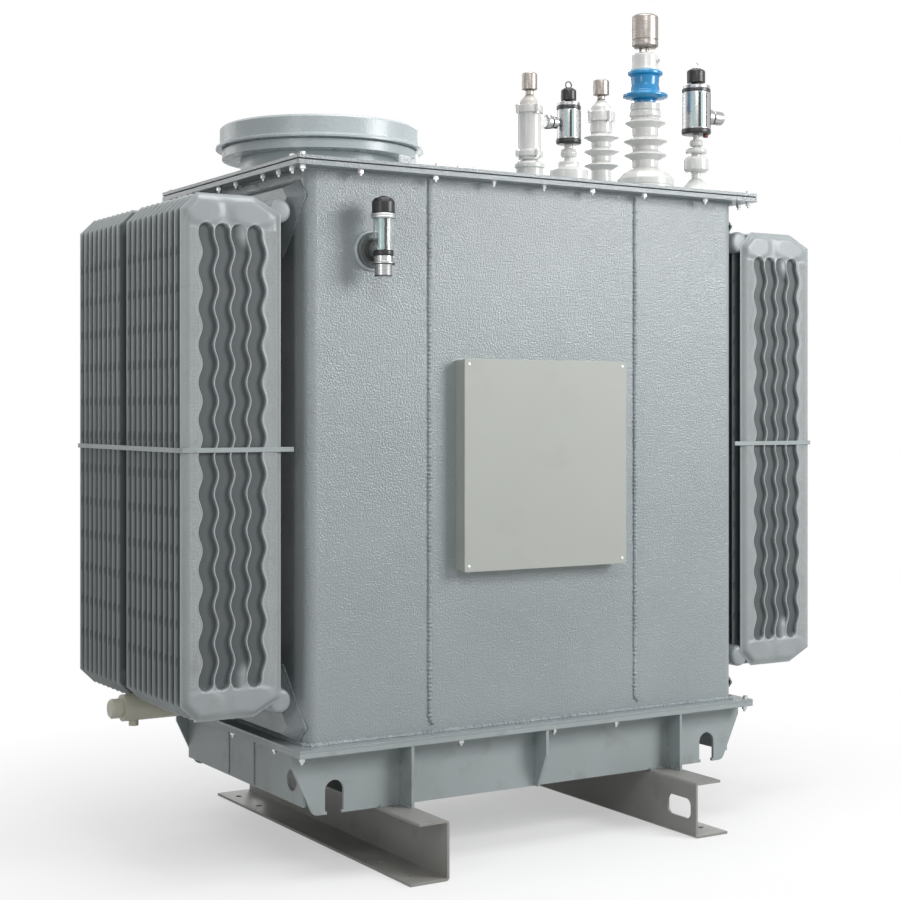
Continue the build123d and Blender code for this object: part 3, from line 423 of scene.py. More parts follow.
def edge_distance(x, z):
    """Distance inside a panel's outline."""
    e = np.minimum(z, PANEL_HEIGHT - z)
    corners = []
    for (cut_x, cut_z), here in ((LEFT_CUT, x), (RIGHT_CUT, PANEL_WIDTH - x)):
        length = math.hypot(cut_x, cut_z)
        corners.append((here * cut_z + e * cut_x - cut_x * cut_z) / length)
    return np.minimum.reduce([x, PANEL_WIDTH - x, e, *corners])


def swing(z):
    """Sideways swing of the channels, which run out straight at both ends."""
    z = np.clip(z, WAVE_END, PANEL_HEIGHT - WAVE_END)
    return -WAVE_HEIGHT * np.cos(2 * math.pi * (z - PANEL_HEIGHT / 2) / WAVE)


def channel_depth(x, z):
    """Share of a channel's full depth at a place, with steep sides."""
    past = np.maximum(0, CHANNEL_END - np.minimum(z, PANEL_HEIGHT - z))
    depth = np.zeros_like(x)
    for index, centre in enumerate(CHANNELS):
        across = x - swing(z) - centre
        t = np.hypot(across, past) / CHANNEL_HALF
        share = 1 - smooth((t - 0.86) / 0.14)
        if index == 2:
            e = np.minimum(z, PANEL_HEIGHT - z)
            share = share * (1 - 0.85 * smooth((168 - e) / 46) * smooth((across + 12) / 24))
        depth = np.maximum(depth, share)
    return depth


def lip_share(x, z):
    """Share of the raised lip that runs round each channel."""
    past = np.maximum(0, CHANNEL_END - np.minimum(z, PANEL_HEIGHT - z))
    e = np.minimum(z, PANEL_HEIGHT - z)
    share = np.zeros_like(x)
    for index, centre in enumerate(CHANNELS):
        across = x - swing(z) - centre
        lip = np.exp(-((np.hypot(across, past) - 25.3) / 1.7) ** 2)
        if index == 2:
            lip = lip * (1 - smooth((168 - e) / 46) * smooth((across + 12) / 24))
        share = np.maximum(share, lip)
    return share


def pressed_height(x, z, body):
    """How far a panel's skin stands out from its middle plane."""
    d = edge_distance(x, z)
    e = np.minimum(z, PANEL_HEIGHT - z)
    height = RIM + (body - RIM) * np.sin(np.clip((d - 4) / 22, 0, 1) * math.pi / 2)
    swell = np.zeros_like(x)
    for centre, half in LOBES:
        r = (np.abs((x - centre) / half) ** 2.6 + np.abs((e - 50) / 47) ** 2.6) ** (1 / 2.6)
        swell = np.maximum(swell, 1 - smooth((r - 0.62) / 0.38))
    height += smooth((d - 7) / 9) * swell * (HEADER - body)
    height += 1.8 * lip_share(x, z) * smooth((e - 60) / 20)
    return np.maximum(height - (body - 1.2) * channel_depth(x, z) * smooth((e - 60) / 20), 1.2)


def panel_marks(x, z, fine):
    """Where a panel is rougher and darker as painted shade, where it is paler as painted highlight, and
    where it is dimpled, as colour parts.

    On a shaped face the channels are rougher and darker as painted shade, their lips get a painted
    highlight, and the bands beside them are paler as painted highlight and dimpled. Between two panels the
    whole skin is rougher and darker as painted shade, but for its edge, which gets a painted highlight.
    """
    e = np.minimum(z, PANEL_HEIGHT - z)
    if not fine:
        # Painted shade between two panels, reaching nearer the edge where the channels swing close, and a
        # painted highlight along the edge.
        phase = 0.5 - 0.5 * np.cos(2 * math.pi * (z - PANEL_HEIGHT / 2) / WAVE)
        reach = 4.5 - 3 * phase ** 4 * smooth((e - 90) / 40)
        gap_shade = smooth((edge_distance(x, z) - reach) / 4)
        edge = 1 - smooth((edge_distance(x, z) - 1.5) / 2.5)
        return np.stack([gap_shade, 0 * x, edge, 0 * x + 1], axis=-1)
    # Painted highlight in bands beside the channels, which are also dimpled.
    left = smooth((x - 20) / 6) * smooth((52 + swing(z) - x) / 5)
    right = smooth((x - 266 - swing(z)) / 6) * smooth((306 - x) / 5)
    band = (left + right) * smooth((e - 92) / 14)
    # Painted shade in the channels, and a painted highlight on their lips.
    channel_shade = channel_depth(x, z)
    lip = lip_share(x, z)
    return np.stack([0.9 * channel_shade * (1 - lip), band * (1 - channel_shade), lip, 0 * x + 1], axis=-1)


def panel_columns(fine):
    """Places across a panel, closest together on the ridges."""
    if not fine:
        across = [0, 4, 10, 18, 32, 54]
        for centre in CHANNELS:
            across += [centre - 12, centre + 12]
        return np.array(across + [268, 288, 302, 309, PANEL_WIDTH])
    across = [0, 3, 6, 9, 12, 16, 20, 25, 30, 36, 42, 48, 51.5, 53.2, 54.75]
    sides = (23.5, 22.7, 22, 21.3, 20.7, 20, 18, 11)
    for centre in CHANNELS:
        across += [centre - k for k in sides]
        across += [centre - 5, centre, centre + 5]
        across += [centre + k for k in reversed(sides)]
        if centre < CHANNELS[-1]:
            across += [centre + 24.3, centre + 25.25, centre + 26.2]
    across += [255.6, 256.8, 258.4, 261, 265, 271, 277, 283, 289, 294, 299, 304, 309]
    return np.array(across + [PANEL_WIDTH])


def panel_rows(step, end_step):
    """Places up a panel, with its cut corners among them and more rows where the channels end."""
    ends = np.concatenate([np.arange(0, 80, end_step), np.arange(80, 120, end_step / 2)])
    ends = np.concatenate([ends, [LEFT_CUT[1], RIGHT_CUT[1]]])
    middle = np.linspace(120, PANEL_HEIGHT - 120, int((PANEL_HEIGHT - 240) / step) + 1)
    return np.unique(np.concatenate([ends, middle, PANEL_HEIGHT - ends]))


def panel_skin(side, fine):
    """Vertices, faces and marks of one skin, on the side that faces -Y or +Y."""
    columns = panel_columns(fine)
    rows = panel_rows(*((WAVE / 19, 6) if fine else (WAVE / 8, 9)))
    e = np.minimum(rows, PANEL_HEIGHT - rows)
    low = LEFT_CUT[0] * np.clip(1 - e / LEFT_CUT[1], 0, 1)
    high = PANEL_WIDTH - RIGHT_CUT[0] * np.clip(1 - e / RIGHT_CUT[1], 0, 1)
    share = columns / PANEL_WIDTH
    x = low[:, None] + (high - low)[:, None] * share[None, :]
    follow = smooth((columns - 8) / 40) * smooth((306 - columns) / 46)
    z = np.repeat(rows[:, None], len(columns), axis=1)
    x = x + follow[None, :] * swing(z) * smooth((e - 52) / 30)[:, None]
    y = side * pressed_height(x, z, SHAPED_BODY if fine else BODY)
    y = np.where(edge_distance(x, z) < 0.05, side * RIM, y)
    vertices = np.stack([x, y, z], axis=-1).reshape(-1, 3)
    faces = []
    wide = len(columns)
    for r in range(len(rows) - 1):
        for c in range(wide - 1):
            a, b = r * wide + c, r * wide + c + 1
            quad = (a, b, b + wide, a + wide)
            faces.append(quad if side < 0 else quad[::-1])
    return vertices, faces, panel_marks(x, z, fine).reshape(-1, 4)


def panel_rim():
    """The flat edge that joins a panel's two skins."""
    inner = PANEL_WIDTH - RIGHT_CUT[0]
    points = [
        (LEFT_CUT[0], 0), (inner, 0),
        (PANEL_WIDTH, RIGHT_CUT[1]), (PANEL_WIDTH, PANEL_HEIGHT - RIGHT_CUT[1]),
        (inner, PANEL_HEIGHT), (LEFT_CUT[0], PANEL_HEIGHT),
        (0, PANEL_HEIGHT - LEFT_CUT[1]), (0, LEFT_CUT[1]),
    ]
    count = len(points)
    vertices = [(x, -RIM, z) for x, z in points] + [(x, RIM, z) for x, z in points]
    faces = [((k + 1) % count, (k + 1) % count + count, k) for k in range(count)]
    faces += [((k + 1) % count + count, k + count, k) for k in range(count)]
    return np.array(vertices), faces


SKINS = {(side, fine): panel_skin(side, fine) for side in (-1, 1) for fine in (False, True)}
RIM_BAND = panel_rim()


def radiator(side, name, first_y, count):
    """A group of pressed panels on its two header pipes, which end inside the first and last panel."""
    start_x = INNER_X if side > 0 else -OUTER_X
    outward = -1 if name == "front" else 1
    shown = 0 if name == "front" else count - 1
    parts = []
    marks = []
    for index in range(count):
        shift = np.array([start_x, first_y + PITCH * index, PANEL_FOOT])
        for face in (-1, 1):
            vertices, faces, skin_marks = SKINS[face, index == shown and face == outward]
            parts.append((vertices + shift, faces))
            marks.append(skin_marks)
        parts.append((RIM_BAND[0] + shift, RIM_BAND[1]))
        marks.append(np.zeros((len(RIM_BAND[0]), 4)))
    run = PITCH * (count - 1)
    outline = [(0, 0), (PIPE_RADIUS, 0, 14), (PIPE_RADIUS, run, 14), (0, run)]
    for level in (PANEL_FOOT + PIPE_DROP, PANEL_FOOT + PANEL_HEIGHT - PIPE_DROP):
        parts.append(lathe(outline, 32, at(side * INNER_X, first_y, level, (-90, "X"))))
        for end in (-1, 1):
            place = at(side * (TANK_X + 2), first_y + run / 2 + end * run / 4, level, (side * 90, "Y"))
            parts.append(lathe([(STUB_RADIUS, 0), (STUB_RADIUS, 70)], 24, place))
    vertices, faces = joined(parts)
    full_name = f"{'right' if side > 0 else 'left'}_{name}"
    replaced = (f"radiator_{full_name}",)
    made = piece(f"panels_{full_name}", vertices, faces, PRESSED, "tank_paint", replaced, 50)
    # Colour marks of painted shade, painted highlight and dimples for each skin.
    colours = np.zeros((len(vertices), 4))
    marks = np.concatenate(marks)
    colours[:len(marks)] = marks
    layer = made.data.color_attributes.new("pressing_and_painted_light", "FLOAT_COLOR", "POINT")
    layer.data.foreach_set("color", colours.ravel())


for side in (-1, 1):
    for name, first_y, count in GROUPS:
        radiator(side, name, first_y, count)


# Header ducts: flat hoppers that slope out from their welded outline
DUCT_HALF, DUCT_SLOPE = 453, 0.91
DUCTS = ((442, 394, 608), (2006, 2054, 1840))
DUCT_RINGS = ((0, 1, 0), (6, 0.96, 4), (70, 0.62, 30), (90, 0.55, 30))


def duct_outline(tip, near, far):
    """Half the width of a duct at the levels of its short and long side."""
    return DUCT_HALF - abs(near - tip) * DUCT_SLOPE, DUCT_HALF - abs(far - tip) * DUCT_SLOPE


def duct(side, tip, near, far):
    """Vertices and faces of one duct, as rings that draw in and stand out from the wall step by step."""
    near_half, far_half = duct_outline(tip, near, far)
    rings = []
    for inset, share, depth in DUCT_RINGS:
        near_z = tip + (near - tip) * share
        far_z = tip + (far - tip) * (1 + share) / 2
        x = side * (TANK_X + depth)
        half = (DUCT_HALF - inset, near_half - inset * 0.8, far_half - inset * 0.5)
        rings.append([
            (x, -half[0], tip), (x, -half[1], near_z), (x, half[1], near_z),
            (x, half[0], tip), (x, half[2], far_z), (x, -half[2], far_z),
        ])
    vertices = [point for ring in rings for point in ring]
    faces = []
    for r in range(len(rings) - 1):
        for k in range(6):
            after = (k + 1) % 6
            faces.append((r * 6 + k, r * 6 + after, r * 6 + 6 + after, r * 6 + 6 + k))
    faces.append(tuple(range(len(vertices) - 6, len(vertices))))
    if (near > far) == (side > 0):
        faces = [face[::-1] for face in faces]
    return vertices, faces


for side, side_name in ((-1, "left"), (1, "right")):
    parts = [duct(side, *levels) for levels in DUCTS]
    piece(f"ducts_{side_name}", *joined(parts), TANK, "tank_paint", (f"header_ducts_{side_name}",), 20)


# Bushings and gauges: an outline lists (radius, height, rounding) corners from the foot up
LOW_X, LEFT_GAUGE_X, MIDDLE_X, HIGH_X, RIGHT_GAUGE_X = 33, 188, 320, 504, 726
LUG_RADIUS, LUG_NUT_WIDTH, LUG_NUT_HEIGHT = 7.9, 9, 4.5
EYE_RADIUS, EYE_WIRE = 11.5, 2
GLAZED = PORCELAIN, "porcelain"
# Strips round a gauge barrel, as angle, half width and kind; the dark ones are painted shade in its slots.
STRIPS = (
    (-115, 5, "dark"), (-104, 6, "cyan"), (-84, 3, "dark"), (-140, 7, "cyan"), (-50, 4, "dark"),
)


def turned(name, x, level, outline, material, slot, replaces=(), extra=(), segments=64, y=ROW_Y):
    """A piece turned about an upright line, with further parts joined to it."""
    parts = [lathe(outline, segments, at(x, y, level)), *extra]
    return piece(name, *joined(parts), material, slot, replaces, 30)


def shed(body, radius, level, height):
    """A shed with a rounded tip and soft roots."""
    tip = level + height * 0.4
    return [
        (body, level - 2, 4), (radius - 5, tip - 1.5, 3), (radius, tip + 1.5, 2.4),
        (radius - 3, tip + 5, 3), (body, level + height, 6),
    ]


def lug_bolts(x, level, circle, height):
    """The lugs of a clamp ring, and a nut above and a head below each."""
    lugs = []
    bolts = []
    for k in range(4):
        angle = math.radians(90 * k)
        px = x + circle * math.cos(angle)
        py = ROW_Y + circle * math.sin(angle)
        outline = [(LUG_RADIUS, 0), (LUG_RADIUS, height, 2), (5, height)]
        lugs.append(lathe(outline, 20, at(px, py, level)))
        for seat in (at(px, py, level + height), at(px, py, level, (180, "X"))):
            bolts.append(hexagon(LUG_NUT_WIDTH, LUG_NUT_HEIGHT, seat))
    return lugs, bolts


def terminal(name, x, level, neck, neck_height, radius, height):
    """A steel terminal: a slim neck under a bevelled cap."""
    top = neck_height + height
    outline = [
        (neck + 2, 0), (neck, 3, 2), (neck, neck_height, 1.5), (radius, neck_height + 4, 2),
        (radius, top - 3, 4), (radius - 6, top, 2), (0, top),
    ]
    turned(f"{name}_metal", x, level, outline, BRUSHED, "terminal_steel", (name,))


def low_bushing():
    """Smooth porcelain between two clamp rings, with a painted dome."""
    ring = 45
    lower_foot, lower_top, upper_foot, top, dome_height = 79, 97.5, 219.5, 245, 32
    lower, lower_bolts = lug_bolts(LOW_X, COVER_TOP + lower_foot, ring, lower_top - lower_foot)
    upper, upper_bolts = lug_bolts(LOW_X, COVER_TOP + upper_foot, ring, top - upper_foot)
    outline = [
        (44, 0), (44, 41, 2), (49, 43, 3), (49, 56, 4), (43, 62, 3),
        (27.5, 62, 1.5), (27.5, 68.5, 1.5), (37, 68.5, 2), (37, 78.5, 1.5),
        (ring, lower_foot, 2), (ring, lower_top, 3), (38.5, 98, 2), (38.5, 219, 2),
        (ring, upper_foot, 2), (ring, top, 3), (0, top),
    ]
    lugs = lower + upper
    turned("low_bushing_glaze", LOW_X, COVER_TOP, outline, *GLAZED, ("low_bushing_body",), lugs)
    piece("low_bushing_bolts", *joined(lower_bolts + upper_bolts), ZINC, "terminal_steel")
    dome = [(33, 0), (33, 4, 2), (30, 15, 14), (16, dome_height, 6), (12, dome_height)]
    turned("low_bushing_dome", LOW_X, COVER_TOP + top, dome, IVORY, "porcelain")
    level = COVER_TOP + top + dome_height
    terminal("low_bushing_terminal", LOW_X, level, neck=13, neck_height=16, radius=25, height=58)


def middle_bushing():
    """Three sheds under a clamp ring with a dome."""
    body, ring, tip = 33, 46.5, 60
    body_top, ring_height, dome_top, lug_rise = 218.5, 31, 73, 0.5
    outline = [(body, 0)]
    for level in (59, 105.5, 152):
        outline += shed(body, tip, level, 26)
    outline += [(37, 182, 2), (37, body_top)]
    turned("middle_bushing_glaze", MIDDLE_X, COVER_TOP, outline, *GLAZED, ("middle_bushing_body",))
    level = COVER_TOP + body_top
    lugs, bolts = lug_bolts(MIDDLE_X, level + lug_rise, ring, ring_height)
    clamp = [
        (ring, 0), (ring, ring_height, 3), (36, 32, 2), (35, 48, 12),
        (13, dome_top, 5), (11, dome_top),
    ]
    turned("middle_bushing_top", MIDDLE_X, level, clamp, *GLAZED, ("middle_bushing_clamp",), lugs)
    piece("middle_bushing_bolts", *joined(bolts), ZINC, "terminal_steel")
    level += dome_top
    terminal("middle_bushing_terminal", MIDDLE_X, level, neck=12, neck_height=11.5, radius=26.5, height=54)


def high_spool():
    """Waisted blue spool with a wide flange at its foot and a smaller one on top."""
    return [
        (37, 0), (37, 10, 3), (60, 14, 6), (77, 20, 5), (77, 29, 5), (70, 32.5, 4),
        (52, 39, 10), (47, 62, 20), (49, 90, 8), (60, 96, 4), (60, 105, 4),
        (54, 109, 3), (40, 115),
    ]


def high_bushing():
    """Flared foot and three sheds under the spool, the white head and a tall cap on studs."""
    body, body_top, head_foot, cap_foot, cap_top = 44.5, 296, 411, 481, 114.5
    outline = [
        (97, 0), (97, 14, 2), (95, 16, 1), (97, 18, 1), (97, 38, 4),
        (80, 59, 16), (48, 77, 8), (body, 79, 2),
    ]
    for radius, level in ((74, 105.5), (76, 152.5), (71, 214.5)):
        outline += shed(body, radius, level, 31)
    outline += [
        (54, 251, 2), (54, 268.5, 3), (48, 269.5, 1), (48, 272, 1),
        (51, 272.5, 1), (51, body_top, 5), (40, body_top),
    ]
    turned("high_bushing_glaze", HIGH_X, COVER_TOP, outline, *GLAZED, ("high_bushing_body",), segments=80)
    level = COVER_TOP + body_top
    spool = high_spool()
    turned("high_bushing_blue", HIGH_X, level, spool, BLUE, "spool_blue", ("high_bushing_spool",), (), 80)
    outline = [(9, 0), (9, 7, 2), (5.5, 7, 1), (5.5, 3), (0, 3)]
    place = at(HIGH_X + 22, ROW_Y - 38, COVER_TOP + 438, (28, "Z")) @ at(0, 0, 0, (90, "X"))
    boss = lathe(outline, 24, place)
    head = [
        (43, -6), (50, -5, 1.5), (50, 1, 1.5), (45, 2, 1), (45, 47, 5),
        (38, 53, 4), (20, 53),
    ]
    level = COVER_TOP + head_foot
    turned("high_bushing_white", HIGH_X, level, head, *GLAZED, ("high_bushing_head",), [boss], 80)
    cap = [
        (30, 0), (35, 1, 1), (45, 9, 2), (45, 24.5, 1), (42.5, 25.5, 0.5),
        (42.5, 28.5, 0.5), (45, 29.5, 1), (45, 108, 6), (34, cap_top, 3), (0, cap_top),
    ]
    circle, level = 15, COVER_TOP + 463
    studs = []
    for k in range(3):
        angle = math.radians(20 + 120 * k)
        place = at(HIGH_X + circle * math.cos(angle), ROW_Y + circle * math.sin(angle), level)
        studs.append(lathe([(4.5, 0), (4.5, 19)], 16, place))
    level = COVER_TOP + cap_foot
    replaced = ("high_bushing_terminal",)
    turned("high_bushing_cap", HIGH_X, level, cap, BRUSHED, "terminal_steel", replaced, studs, 80)


def gauge_eye(x, level):
    """A standing ring of round wire."""
    points = []
    for degrees in range(0, 360, 20):
        angle = math.radians(degrees)
        points.append((x + EYE_RADIUS * math.cos(angle), ROW_Y, level + EYE_RADIUS * math.sin(angle)))
    return tube(points, EYE_WIRE, 8, True)


def rubber_cap(name, x, level, neck, neck_height, radius, height, rubber_eye):
    """A rubber cap with a standing eye, which is of rubber too or a wire ring of its own."""
    top = neck_height + height
    outline = [
        (neck, 0), (neck, neck_height, 1), (radius, neck_height, 4), (radius, top - 8, 7),
        (radius * 0.55, top, 5), (0, top),
    ]
    eye = [gauge_eye(x, level + top + 9.5)] if rubber_eye else []
    turned(f"{name}_rubber", x, level, outline, CAP, "cap_rubber", (name,), eye)
    if not rubber_eye:
        piece(f"{name}_ring", *gauge_eye(x, level + top + 10.5), ZINC, "terminal_steel")


def barrel(name, x, level, radius, height, tip, knob):
    """Bright tube between a dark foot ring and a dark bevelled head, with long strips let into it: dark
    ones that are painted shade in its slots, and cyan scale strips.
    """
    groove, skin, ring, head_top = radius - 3, radius - 0.5, radius + 1, height + 0.5
    outline = [
        (groove, 17), (skin, 18, 1), (skin, height - 26, 1), (groove, height - 25, 0.5),
        (groove, height), (10, height),
    ]
    turned(f"{name}_metal", x, level, outline, POLISHED, "gauge_metal", (name,), knob)
    head = [
        (radius - 4, height - 23.5), (radius, height - 22, 2), (radius, height - 11, 5),
        (tip, head_top, 3), (10, head_top),
    ]
    turned(f"{name}_head", x, level, head, HEAD, "cap_rubber")
    foot = [
        (radius - 8, 0), (radius - 2, 1, 2), (ring, 5, 2.5), (ring, 16, 2.5),
        (radius - 2, 19, 1.5), (radius - 6, 19),
    ]
    turned(f"{name}_foot_ring", x, level, foot, CAP, "cap_rubber")
    strips = {"dark": [], "cyan": []}
    for middle, half, colour in STRIPS:
        points = [(radius, middle - half), (radius, middle), (radius, middle + half)]
        points += [(radius - 1.5, middle + half), (radius - 1.5, middle - half)]
        points = [(r * math.cos(math.radians(a)), r * math.sin(math.radians(a))) for r, a in points]
        strips[colour].append(slab(points, height - 48, at(x, ROW_Y, level + 21)))
    # Dark strips in the slots: painted shade where the barrel is open.
    piece(f"{name}_slot_shade", *joined(strips["dark"]), GASKET, "cap_rubber")
    piece(f"{name}_scale", *joined(strips["cyan"]), CYAN, "gauge_glass")


def left_gauge():
    """White foot with a ball joint, a barrel with a knob to the left, and a cap."""
    x = LEFT_GAUGE_X
    foot_height, barrel_height, knob_level = 132, 136, 199
    outline = [
        (63, 0), (63, 12, 1.5), (61, 14, 1), (63, 16, 1.5), (63, 46, 4), (40, 56, 6),
        (36, 62, 2), (36, 74, 2.5), (15, 74.5, 2), (15, 88, 2), (24, 90, 5),
        (28, 103, 9), (24, 116, 5), (15, 118, 2), (15, foot_height),
    ]
    turned("left_gauge_white", x, COVER_TOP, outline, *GLAZED, ("left_gauge_foot",))
    knob_outline = [
        (9, 38), (9, 50, 1), (20, 50, 2), (20, 68, 2), (9, 68, 1),
        (9, 73, 1), (24, 74, 4), (24, 90, 5), (17, 94, 2), (0, 94),
    ]
    knob = lathe(knob_outline, 32, at(x, ROW_Y, COVER_TOP + knob_level, (-90, "Y")))
    level = COVER_TOP + foot_height
    barrel("left_gauge_barrel", x, level, radius=40.5, height=barrel_height, tip=28, knob=[knob])
    level += barrel_height
    rubber_cap(
        "left_gauge_cap", x, level, neck=13, neck_height=7, radius=25.5, height=43, rubber_eye=True,
    )


def right_gauge():
    """White cone with a valve and its lever, a barrel with a knob to the right, and a cap."""
    x = RIGHT_GAUGE_X
    foot_height, barrel_height, knob_level, lever_width = 210, 167, 275.5, 12
    outline = [
        (60, 0), (60, 18, 3), (24, 55, 6), (17, 57, 2), (17, 79, 2), (36, 81, 3),
        (44, 88, 4), (44, 124, 6), (36, 132.5, 4), (17, 133, 2), (17, 144, 2),
        (36, 144.5, 2), (38, 149, 2), (38, 158, 3), (32, 162, 2), (11, 162.5, 1),
        (11, 167, 1), (22, 170, 5), (25, 180, 8), (22, 190, 5), (11, 193, 1),
        (11, foot_height),
    ]
    lever = [(15, 28), (138, 53), (138, 62), (15, 62)]
    arm = slab(lever, lever_width, at(x, ROW_Y + lever_width / 2, COVER_TOP, (90, "X")))
    turned("right_gauge_white", x, COVER_TOP, outline, *GLAZED, ("right_gauge_foot",), [arm])
    knob_outline = [
        (28, 44), (28, 62, 2), (24, 66, 2), (10, 66, 1), (10, 70, 1),
        (24, 71, 4), (24, 110, 7), (15, 116, 3), (0, 116),
    ]
    knob = lathe(knob_outline, 32, at(x, ROW_Y, COVER_TOP + knob_level, (90, "Y")))
    level = COVER_TOP + foot_height
    barrel("right_gauge_barrel", x, level, radius=50.5, height=barrel_height, tip=30, knob=[knob])
    rubber_cap(
        "right_gauge_cap", x, level + barrel_height,
        neck=17, neck_height=10.5, radius=32, height=50, rubber_eye=False,
    )
    plug = [(9, 0), (9, 9, 1.5), (6, 10, 1), (0, 10)]
    place = at(x + 26, ROW_Y - 20, level, (180, "X"))
    piece("right_gauge_plug", *lathe(plug, 24, place), OXIDE, "cap_rubber")


def front_gauge_flange(x, level):
    """Wall flange, disc and seal of the front gauge, and the neck from them to the gauge's body."""
    wall = at(x, -TANK_Y, level, (90, "X"))
    flange = [(61, 0), (61, 7, 2), (58, 10, 2), (30, 10)]
    # Flange in the lighter copy of the tank paint, a painted highlight.
    piece("front_gauge_flange", *lathe(flange, 64, wall), LIT_TANK_PAINT, "tank_paint", ("front_gauge_stub",))
    disc = [(54, 10), (54, 19, 3), (49, 22, 2), (30, 22)]
    piece("front_gauge_disc", *lathe(disc, 64, wall), DULL, "tank_paint")
    seal = [(35, 20), (35, 27, 2), (30, 28)]
    piece("front_gauge_seal", *lathe(seal, 48, wall), GASKET, "cap_rubber")
    return lathe([(30, 26), (30, 60, 2), (23, 76)], 48, wall)


def front_gauge():
    """Sight gauge on the front wall: bright body, clear tube with a scale inside, steel band and cap."""
    x, y, foot = -604, -542, 1770
    glass_foot, glass_top = 77, 171
    glass_height = glass_top - glass_foot
    neck = front_gauge_flange(-598, 1853)
    body = [
        (0, -4), (5, -4, 1), (5, 0), (23.5, 0, 1), (23.5, 2, 0.5), (25.5, 3, 1),
        (26, 36, 2), (35, 37.5, 1), (35, 41.5, 1), (28.5, 43.5, 2), (28.5, 60, 1), (25, 62),
    ]
    turned("front_gauge_metal", x, foot, body, POLISHED, "gauge_metal", ("front_gauge_body",), [neck], y=y)
    ring = [(24, 61), (30.5, 61.5, 1.5), (30.5, 76, 2), (24, glass_foot)]
    lines = []
    for radius, low in ((35.6, 35), (26.6, 0.6)):
        inner, high = radius - 4, low + 2.6
        outline = [(inner, low), (radius, low, 0.5), (radius, high, 0.5), (inner, high)]
        lines.append(lathe(outline, 48, at(x, y, foot)))
    turned("front_gauge_ring", x, foot, ring, CAP, "cap_rubber", (), lines, y=y)
    outer, inner = 29.8, 26.5
    glass_wall = [(inner, glass_foot), (outer, glass_foot), (outer, glass_top), (inner, glass_top)]
    glass_wall.append((inner, glass_foot + 1))
    turned("front_gauge_tube", x, foot, glass_wall, GLASS, "gauge_glass", ("front_gauge_glass",), y=y)
    core = [(15, glass_foot - 1), (15, glass_top)]
    turned("front_gauge_core", x + 4, foot, core, POLISHED, "gauge_metal", y=y + 4)
    inside = at(x, y, foot + glass_foot)
    scale = [(-22, -12), (-9, -19), (-8, -17.5), (-21, -10.5)]
    piece("front_gauge_scale", *slab(scale, glass_height, inside), CYAN, "gauge_glass")
    mark = [(-4, -21), (0.5, -21.5), (0.5, -19), (-4, -18.5)]
    piece("front_gauge_mark", *slab(mark, glass_height, inside), GASKET, "cap_rubber")
    cap_foot = 186
    band = [
        (28, 170), (35, glass_top, 1.5), (36.8, 175, 1.5), (34.5, 178, 1.5), (36.8, 181.5, 1.5),
        (35, 185.5, 1.5), (20, cap_foot),
    ]
    turned("front_gauge_band", x, foot, band, ZINC, "gauge_metal", y=y)
    cap = [
        (33, cap_foot), (34, 188, 1), (34, 219, 4), (28, 230, 5),
        (5, 238.5, 3), (0, 239),
    ]
    turned("front_gauge_top", x, foot, cap, CAP, "cap_rubber", ("front_gauge_cap",), y=y)


low_bushing()
middle_bushing()
high_bushing()
left_gauge()
right_gauge()
front_gauge()


# Materials of the nodes that stay as they are
KEPT = {
    "skid_right": SKID, "skid_left": SKID,
    "base_front_beam": FRAME, "base_back_beam": FRAME, "base_end_plates": FRAME,
    "base_front_ribs": FRAME, "base_back_ribs": FRAME, "base_deck": FRAME,
    "tank_bottom_flange": TANK, "tank_body": TANK, "tank_top_flange": TANK,
    "cover_gasket": GASKET, "cover_plate": TANK,
    "bank_strap_right": FRAME, "bank_strap_left": FRAME,
    # Hatch in the lighter copy of the tank paint: a painted highlight.
    "hatch_neck": LIT_TANK_PAINT, "hatch_flange": LIT_TANK_PAINT, "hatch_lid": LIT_TANK_PAINT,
    "cabinet_body": CABINET, "cabinet_cover": CABINET,
    "drain_valve_body": VALVE, "drain_valve_cap": VALVE,
}
for name, material in KEPT.items():
    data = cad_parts[name].data
    data.materials.clear()
    data.materials.append(material)


# Nuts and bolts
BOLT_X = (-848, -657, -399, -189, 0, 189, 399, 657, 848)
BOLT_Y = (-444, -354, -246, -48, 83, 246, 444)
HATCH_BOLT_X = (-391, -310, -254)
DECK_BOLT_X = (-845, -302, 46, 292, 840)
DECK_BOLT_Y = (-304, 0, 304)
NUT_WIDTH, NUT_HEIGHT, SEAT_HEIGHT = 15, 10, 2.5
COVER_INSET, HATCH_BOLT_INSET, PLUG_INSET, DECK_INSET, SCREW_INSET = 20, 22, 24, 18, 16


def hanging_nut(x, y, level, turn):
    """Washer, nut and stud end under a flange."""
    seat = level - SEAT_HEIGHT
    stud = [(4.5, 0), (4.5, 6), (3.5, 7.5), (0, 7.5)]
    return [
        washer(9.5, SEAT_HEIGHT, at(x, y, level, (180, "X"))),
        hexagon(NUT_WIDTH, NUT_HEIGHT, at(x, y, seat, (180, "X")) @ at(0, 0, 0, (turn, "Z"))),
        lathe(stud, 12, at(x, y, seat - NUT_HEIGHT, (180, "X"))),
    ]


def standing_bolt(x, y, level, turn):
    """Washer and bolt head on a flange."""
    head = hexagon(NUT_WIDTH, 8, at(x, y, level + SEAT_HEIGHT, (turn, "Z")))
    return [washer(10, SEAT_HEIGHT, at(x, y, level)), head]


